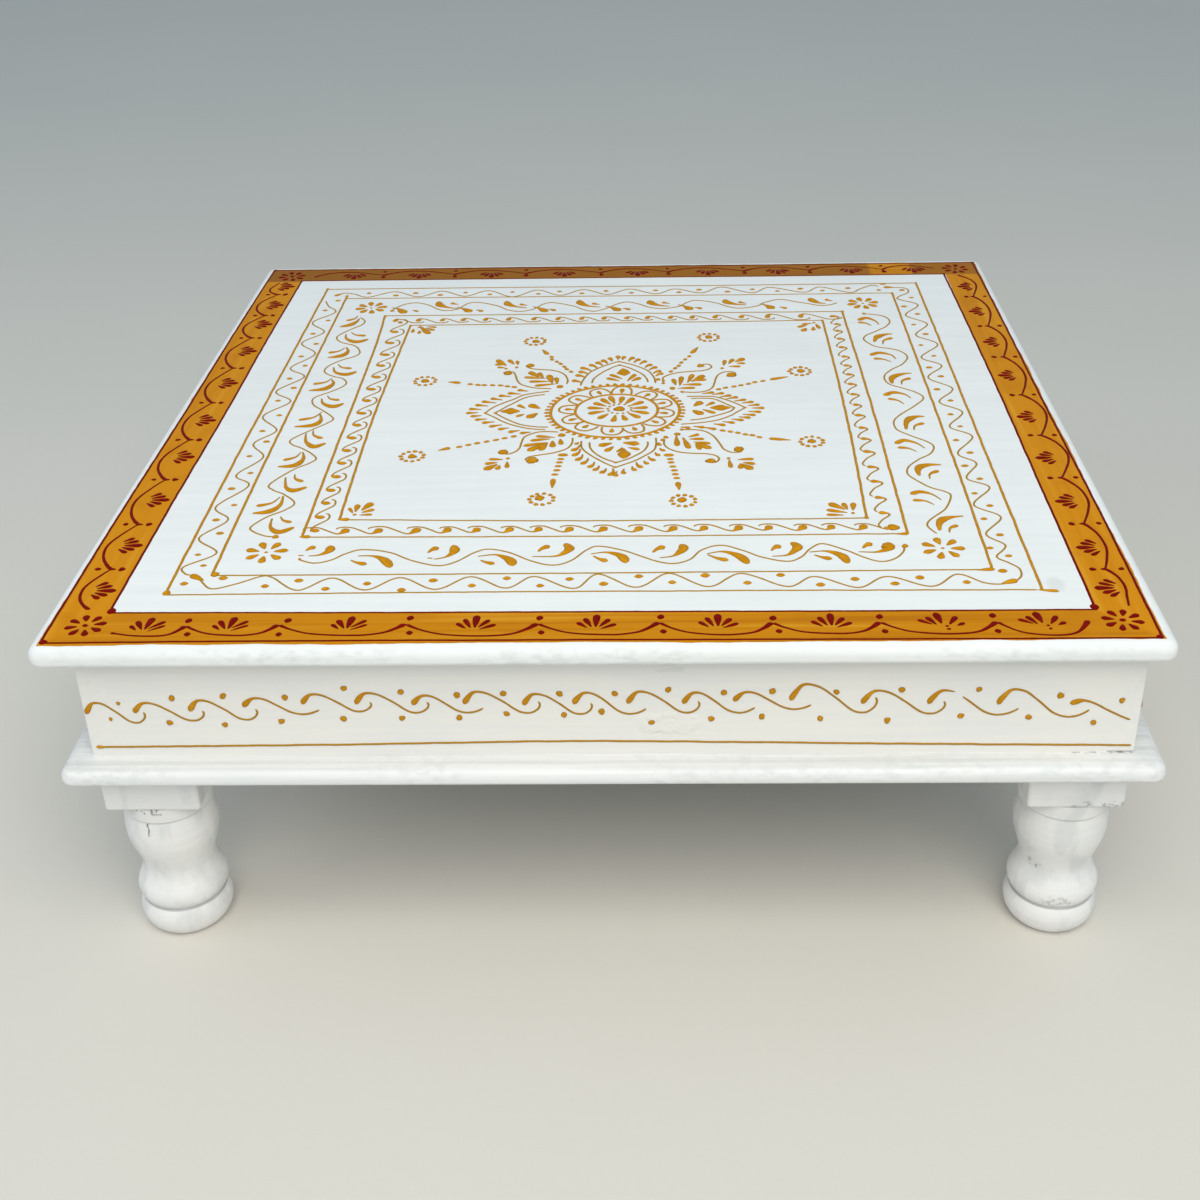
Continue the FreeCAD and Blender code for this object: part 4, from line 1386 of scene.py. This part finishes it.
sprig_leaves = (
    ((1, -53), (-7, -56.5), 2.9), ((2, -58), (-3, -65), 2.4), ((7.5, -52.5), (17, -54.5), 3.3),
    ((11, -60), (18, -63), 2.0), ((8, -59), (4.4, -66.5), 1.3), ((5, 54), (-4, 62), 2.0),
    ((3, 50.5), (-6, 55.5), 2.0), ((8, 50), (13.5, 62), 2.0), ((11, 50), (17, 55.5), 2.4),
    ((6, 60), (0.6, 65.5), 1.3), ((6, 60), (9.5, 66.5), 1.3), ((-61, 4), (-66.5, 9.5), 2.0),
    ((-51, 3.5), (-58, 9.5), 3.3), ((-61, -5), (-66, -9), 1.8), ((-52, -4), (-58, -10.5), 3.3),
    ((55, 5), (60, 11.5), 3.3), ((63, 5.5), (69, 11), 2.0), ((54, -1.5), (60, -7.5), 3.6),
    ((61, 0), (69, -6.5), 2.0),
)
for tip, fat, bead in sprig_leaves:
    petals.drop(fat, tip, bead * 0.92)
petals.lay("gold_petals", gold_paint, "gold_line_paint", on_board, Seed=8.0, Step=0.9 * MM)


# Palmettes: between the petals, a spray of leaves between two arms that curl outwards and
# end in bulbs, with a small fan of drops beyond it.

palmettes = Piping(off_square)
arms = (
    [
        (-26, -44), (-26, -53), (-29, -61), (-37, -67), (-47, -70.5), (-53, -73), (-55, -77),
        (-51.5, -79.5),
    ],
    [
        (-36, -35), (-45, -34), (-52, -36), (-58, -42), (-59.5, -50), (-60, -58), (-62, -64), (-66, -68),
        (-70, -68),
    ],
    [(-45, 38), (-55, 39), (-62, 42), (-68, 47), (-71, 54), (-73, 63), (-75, 69), (-79, 69.5)],
    [
        (-35, 46), (-34.5, 52), (-36, 60), (-40, 67), (-47, 71.5), (-57, 73.5), (-63, 75.5), (-66.5, 80),
        (-64, 83),
    ],
    [
        (34, 44), (34, 50), (34, 56), (38, 61), (45, 65), (55, 67), (62, 68), (67, 71), (69, 75.5),
        (66.5, 80), (62, 79.5),
    ],
    [
        (47, 30), (58, 29), (65, 32), (69, 38), (70.5, 46), (71.5, 53), (74, 61), (79, 65.5), (85, 64.5),
        (86, 60),
    ],
    [
        (46, -33), (56, -33.5), (62, -36), (67, -42), (70, -50), (72, -57), (74, -64), (78.5, -68.5),
        (84, -68.5), (86, -65),
    ],
    [
        (35, -48), (35, -56), (38, -62), (45, -67.5), (55, -70), (62, -70.5), (68, -73), (70.5, -78),
        (68.5, -83), (65.5, -83),
    ],
)
for path in arms:
    palmettes.line(path, fine_line)
for x, y, bead in (
    (-50.5, -78.2, 4.2), (-70.5, -65.5, 3.6), (-79, 66.8, 3.6), (-63.6, 81, 3.3), (61.2, 77.2, 2.8),
    (83, 59.6, 3.9), (83.6, -64.4, 3.6), (65, -81, 3.5), (-33.5, -40.5, 2.5), (-39.5, 41, 2.5),
    (40.5, 36.5, 2.2), (43.5, -40, 2.3), (47.5, 30, 1.5), (46.5, -33, 1.5), (34, 45.5, 1.6),
    (34, 50, 1.3), (36, -45, 1.9), (34, -49, 1.7),
):
    palmettes.dot(x, y, bead)
spray_leaves = (
    ((-40, -43), (-50, -41.5), 1.8), ((-43, -46), (-53, -48), 2.0), ((-45, -52), (-57, -56), 2.0),
    ((-46, -55), (-53.5, -63), 2.9), ((-43, -53), (-46, -62.5), 2.4), ((-39, -50), (-38.5, -57.5), 2.4),
    ((-34, -47), (-33, -54), 2.0), ((-45, 46), (-57, 43.5), 1.8), ((-50, 51), (-61.5, 51), 1.9),
    ((-53, 57), (-65.5, 59), 1.9), ((-57, 61), (-62.8, 68), 2.7), ((-53, 59), (-56, 66.5), 2.0),
    ((-46, 50), (-48.5, 61.5), 2.7), ((-42, 48), (-43, 57), 2.0), ((42.5, 44), (41, 52.5), 1.9),
    ((46, 44), (47, 56.5), 2.1), ((52, 49), (55, 60.5), 2.1), ((56, 50), (62.5, 58.5), 2.7),
    ((55, 50), (64, 51.5), 2.0), ((50, 43), (60.5, 43), 2.0), ((46, 36.5), (56, 37), 1.8),
    ((43, -45), (43.5, -57.5), 2.1), ((48, -48), (51, -61.5), 2.2), ((56, -57), (58.5, -63.5), 1.9),
    ((57, -56), (64.5, -62), 2.7), ((56, -53), (64.5, -55), 2.0), ((53, -48), (60.5, -48), 2.0),
    ((52, -44), (57.5, -41), 1.8),
)
for tip, fat, bead in spray_leaves:
    palmettes.drop(fat, Vector(fat).lerp(Vector(tip), 1.25), bead * 0.96)
outer_fan_drops = (
    ((-78, -76), (-70, -76.5), 1.7), ((-80, -82.5), (-73, -81), 1.9), ((-79.5, -90.5), (-73, -84), 2.7),
    ((-72, -90.5), (-71, -85), 1.9), ((-66, -88), (-66.5, -80), 1.7), ((92, -79), (83, -79.5), 1.7),
    ((92.5, -86), (86, -84), 1.9), ((90.5, -93), (84, -86), 2.7), ((84, -92), (83, -87), 1.9),
    ((77.5, -90.5), (77, -80), 1.7), ((-88.5, 91.5), (-82, 82), 2.5), ((-89, 83.5), (-83, 83), 1.8),
    ((-87, 78), (-82, 77), 1.5), ((-80, 91.5), (-76, 84), 1.9), ((-74, 89.5), (-73, 83), 1.6),
    ((79, 86.5), (78, 78), 1.7), ((85, 88.5), (82, 81), 1.9), ((92.5, 89.5), (87, 84), 2.6),
    ((93, 81), (88, 81), 1.8), ((89.5, 75), (82, 75.5), 1.6),
)
for fat, tip, bead in outer_fan_drops:
    palmettes.drop(fat, Vector(fat).lerp(Vector(tip), 1.12), bead)
for x, y in ((76.5, -77.5), (-73.5, 77.5), (-81, 75.5), (76.5, 72), (-66.5, -75)):
    palmettes.dot(x, y, 1.4)
palmettes.lay("gold_palmettes", gold_paint, "gold_line_paint", on_board, Seed=9.0, Step=0.9 * MM)


# Rays: eight rows of dots that run out from between the petals, each ending in a long drop
# and a small flower of tiny dots.

rays = Piping(off_square)
ray_places = (
    (
        [(-31, -70.5), (-32, -76.5), (-32.5, -81.5), (-33, -87), (-33.5, -93), (-34.5, -99)], (-35, -106),
        (-35, -118), (-41.5, -131.5), (-40.5, -133),
    ),
    (
        [(38, -72), (39, -78), (39.5, -83), (40.5, -89), (41.5, -94.5), (42, -100), (43, -105.5)],
        (43.5, -112), (44.5, -122), (46, -135.5), (47, -136.5),
    ),
    (
        [(74, -35), (79, -37), (84, -39), (89, -41.5), (93.5, -43), (98, -46)], (105, -48.5), (119, -51),
        (132, -53), (132, -53.5),
    ),
    (
        [(73, 34), (78, 36.5), (84, 38.5), (89, 40.5), (94.5, 43), (99, 46), (105, 48)], (111, 50.5),
        (124, 55.5), (133, 65.5), (132.5, 65),
    ),
    (
        [(39.5, 67), (42.5, 73), (45, 77.5), (47, 83.5), (50, 89.5), (53, 95.5)], (55, 102), (60, 114),
        (68, 133), (68, 132.5),
    ),
    (
        [(-33, 68.5), (-36.5, 73.5), (-38.5, 78), (-41.5, 83.5), (-44.5, 87.5), (-48.5, 92), (-49, 97)],
        (-52.5, 102.5), (-57, 112), (-63, 128), (-63.5, 128.5),
    ),
    (
        [(-72, 41.5), (-77, 43), (-82, 44.5), (-88, 45), (-94, 45.5), (-98.5, 46), (-104, 47.5)],
        (-112, 50), (-121, 52), (-137.5, 54), (-137.5, 54),
    ),
    (
        [
            (-65.5, -41.3), (-71.5, -44), (-77, -46.5), (-83, -49), (-89, -51.5), (-94.5, -54),
            (-100.2, -56.8),
        ],
        (-106.6, -58.6), (-114, -62.3), (-129.5, -70.5), (-129.5, -70.5),
    ),
)
for dots, fat, tip, flower, ring_middle in ray_places:
    outwards = Vector(fat) - Vector(dots[0])
    for x, y in dots:
        if y < -60:
            rays.dash(x, y, (1, 0), 2.0 if (x, y) == dots[0] else 1.4, 1.7)
        else:
            rays.dash(x, y, outwards, 1.5, 1.5)
    rays.drop(fat, tip, 1.9)
    rays.dot(*flower, 3.2)
    for place in around(*ring_middle, 7.5, 7.5, 11, 0.3):
        rays.dot(*place, 1.6)
rays.stroke([(-57, 132), (-56.2, 127), (-59, 122.4)], [0.6, 0.9, 0.6])
rays.lay("gold_rays", gold_paint, "gold_line_paint", on_board, Seed=10.0)


# Apron scrolls: a row of larger scrolls piped along the outside of each apron board, a dot
# above and below each, and one straight line near the bottom. Only the front's can be
# seen in full, so the other three sides repeat it.

apron_face = Piping()
apron_heads = (
    (-287.6, 49.3), (-260.6, 48.8), (-229.8, 47.8), (-199.6, 45.4), (-167, 43.5), (-137.4, 43.5),
    (-106, 44.4), (-77.8, 43.5), (-45.3, 44.8), (-17.6, 44.2), (11.7, 43.8), (42, 44.2), (69.8, 43.2),
    (100.7, 41.6), (139.6, 44.5), (175.6, 44.6), (213.2, 45.0), (254, 45.7),
)
apron_tails = (
    -255.4, -222.4, -192.8, -158.7, -129.4, -97.8, -68.3, -36.6, -8.2, 21, 50.6, 80.4, 111, 147.2, 184.2,
    223.7, 262, 285,
)
swing_shares = (
    1.0, 0.9, 0.97, 0.81, 0.86, 1.0, 0.86, 1.07, 1.0, 1.07, 1.05, 1.0, 0.85, 1.41, 1.15, 1.23, 1.38, 1.6,
)
apron_shares = (
    (-0.025, 1.8), (0.015, -1.2), (0.12, -5.4), (0.29, -4.6), (0.50, 0.6), (0.70, 6.6), (0.85, 7.6),
    (0.95, 5.4), (0.985, 2.6), (0.965, 0.4),
)
open_shares = (
    (-0.025, 1.8), (0.015, -1.2), (0.12, -5.2), (0.27, -4.4), (0.44, 0.6), (0.60, 5.8), (0.74, 7.8),
    (0.86, 7.4), (0.95, 5.8), (1.0, 4.4),
)
last_shares = (
    (-0.10, 0.9), (0.02, 0.0), (0.14, -0.4), (0.28, 0.4), (0.42, 1.8), (0.56, 3.4), (0.70, 4.9),
    (0.82, 6.1), (0.92, 7.0), (1.0, 7.6),
)
apron_bead_shares = (2.4, 2.6, 1.4, 1.05, 1.0, 1.0, 1.0, 1.0, 1.0, 0.95)
open_scrolls = (3, 6, 9, 11, 12, 15, 16)
broken_scroll = 15
last_scroll = 17
for number, ((head, depth), tail, swing) in enumerate(zip(apron_heads, apron_tails, swing_shares)):
    shares = open_shares if number in open_scrolls else apron_shares
    if number == last_scroll:
        shares = last_shares
    run = [(head + share * (tail - head), -depth - down * swing) for share, down in shares]
    beads = [0.66 * share for share in apron_bead_shares]
    if number == broken_scroll:
        apron_face.stroke(run[:4], beads[:3] + [0.4])
        rest = Vector(run[3]).lerp(Vector(run[4]), 0.45)
        run, beads = [tuple(rest)] + run[4:], [0.4] + beads[4:]
    apron_face.stroke(run, beads)
dots_above = (
    (-269.4, 44.2), (-239.3, 40.7), (-210.9, 39.3), (-176.8, 40.5), (-144.1, 34.8), (-113, 37.5),
    (-82.5, 39.5), (-57, 38.7), (-26.3, 38.9), (3.9, 39.1), (33, 36.6), (63.2, 38.9), (89.5, 38.3),
    (124.1, 38.7), (159.5, 37.3), (201.1, 37.5), (245.3, 41.8), (278.7, 45.1),
)
dots_below = (
    (-275.4, 54.5), (-243.1, 57), (-212.2, 58.7), (-180.9, 56.4), (-146.1, 55), (-113.6, 54.7),
    (-81.9, 54.5), (-55.8, 52.1), (-24.3, 53.1), (-3.3, 51), (23.7, 58.5), (56.6, 56), (84.2, 55),
    (116.3, 56), (152.7, 57.8), (192.6, 54.7), (229.5, 56), (265.1, 59.5),
)
for dots in (dots_above, dots_below):
    for number, (along, depth) in enumerate(dots):
        apron_face.dot(along, -depth, 1.3 if number == 0 else 1.95)
apron_face.line([(-286, -73.4), (-150, -72.4), (-13.5, -70.7), (150, -73.2), (288, -75)], 0.72)
apron_face.stroke([(-287, -73.4), (-282, -73.4)], [1.3, 0.9])
apron_face.dot(-288, -13.5, 2.2)

# Apron gold: a painted shade colour for the sides of the beads, the body, a painted highlight for the crown,
# and a colour for thin lines.
apron_foot_shade, apron_body = (0.350, 0.152, 0.009, 1), (0.540, 0.240, 0.010, 1)
apron_highlight, apron_thin = (0.660, 0.300, 0.016, 1), (0.420, 0.220, 0.026, 1)
apron_gold = bead_paint("apron_gold", apron_foot_shade, apron_body, apron_highlight, apron_thin, 0.05)
side_low, side_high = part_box("apron_left")[0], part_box("apron_right")[1]
middle_x, middle_y = (side_low.x + side_high.x) / 2, (side_low.y + side_high.y) / 2
half_side = (side_high.x - side_low.x) / 2
for side, turn in (("front", 0), ("right", 90), ("back", 180), ("left", 270)):
    place = Matrix.Translation((middle_x, middle_y, board_top))
    place = place @ Matrix.Rotation(math.radians(turn), 4, "Z")
    place = place @ Matrix.Translation((0, -half_side, 0))
    place = place @ Matrix.Rotation(math.radians(90), 4, "X")
    apron_face.lay(f"apron_scrolls_{side}", apron_gold, "gold_line_paint", place, Seed=11.0 + turn / 90)


# Floor, lights and camera: a plain pale floor under one broad soft light from above and in
# front, with a weaker one from the left and a pale sky. The camera stands where it shows
# the table from the front and a little above.


def pale_floor():
    """Smooth plaster with faint clouds in it."""
    finish = Finish("pale_floor")
    place = finish.add("TexCoord", {}, {}, "Object")
    cloud = finish.grain(place, (2.5, 2.5, 2.5), 3, 1.0)
    dust = finish.grain(place, (300, 300, 300), 2, 2.0)
    colour = finish.blend(cloud, (0.70, 0.66, 0.60, 1), (0.74, 0.70, 0.64, 1))
    finish.dress(colour, 0.62 + cloud * 0.1, dust, 0.0001)
    return finish.material


floor_reach = 14.0
floor_mesh = bpy.data.meshes.new("floor")
floor_corners = [(x * floor_reach, y * floor_reach, 0) for x, y in ((-1, -1), (1, -1), (1, 1), (-1, 1))]
floor_mesh.from_pydata(floor_corners, [], [(0, 1, 2, 3)])
floor = bpy.data.objects.new("floor", floor_mesh)
floor_mesh.materials.append(pale_floor())
bpy.context.scene.collection.objects.link(floor)


def soft_light(name, place, aim, size, power, colour):
    """A square lamp at a place, turned towards its aim."""
    lamp = bpy.data.lights.new(name, "AREA")
    lamp.shape = "SQUARE"
    lamp.size = size
    lamp.energy = power
    lamp.color = colour
    holder = bpy.data.objects.new(name, lamp)
    holder.location = place
    holder.rotation_euler = (Vector(aim) - Vector(place)).to_track_quat("-Z", "Y").to_euler()
    bpy.context.scene.collection.objects.link(holder)


warm_white, cool_white = (1.0, 0.965, 0.87), (0.97, 0.985, 1.0)
front_place, front_aim = (0.3, -1.43, 1.93), (0, -0.05, 0.15)
side_place, side_aim = (-1.9, -0.5, 1.4), (0, 0, 0.15)
soft_light("front_light", front_place, front_aim, size=1.6, power=35.5, colour=warm_white)
soft_light("side_light", side_place, side_aim, size=1.2, power=7, colour=cool_white)

sky_blue, sky_strength = (0.72, 0.88, 1.0, 1), 0.49
sky = bpy.data.worlds.new("soft_sky")
bpy.context.scene.world = sky
sky.use_nodes = True
background = sky.node_tree.nodes["Background"]
background.inputs["Color"].default_value = sky_blue
background.inputs["Strength"].default_value = sky_strength

camera_data = bpy.data.cameras.new("camera")
camera_data.sensor_width = 36.0
camera_data.lens = 47.862
camera_data.shift_x = -0.0221
camera_data.shift_y = -0.0453
camera_data.clip_start = 0.05
camera = bpy.data.objects.new("camera", camera_data)
camera_turn, camera_tilt, camera_roll = -1.643, 29.036, -1.217
camera_spot = (0.03417, -1.00963, 0.66957)
camera_place = Matrix.Translation(camera_spot)
camera_place @= Matrix.Rotation(math.radians(-camera_turn), 4, "Z")
camera_place @= Matrix.Rotation(math.radians(90 - camera_tilt), 4, "X")
camera_place @= Matrix.Rotation(math.radians(camera_roll), 4, "Z")
camera.matrix_world = camera_place
bpy.context.scene.collection.objects.link(camera)
bpy.context.scene.camera = camera
bpy.context.scene.view_settings.view_transform = "Standard"
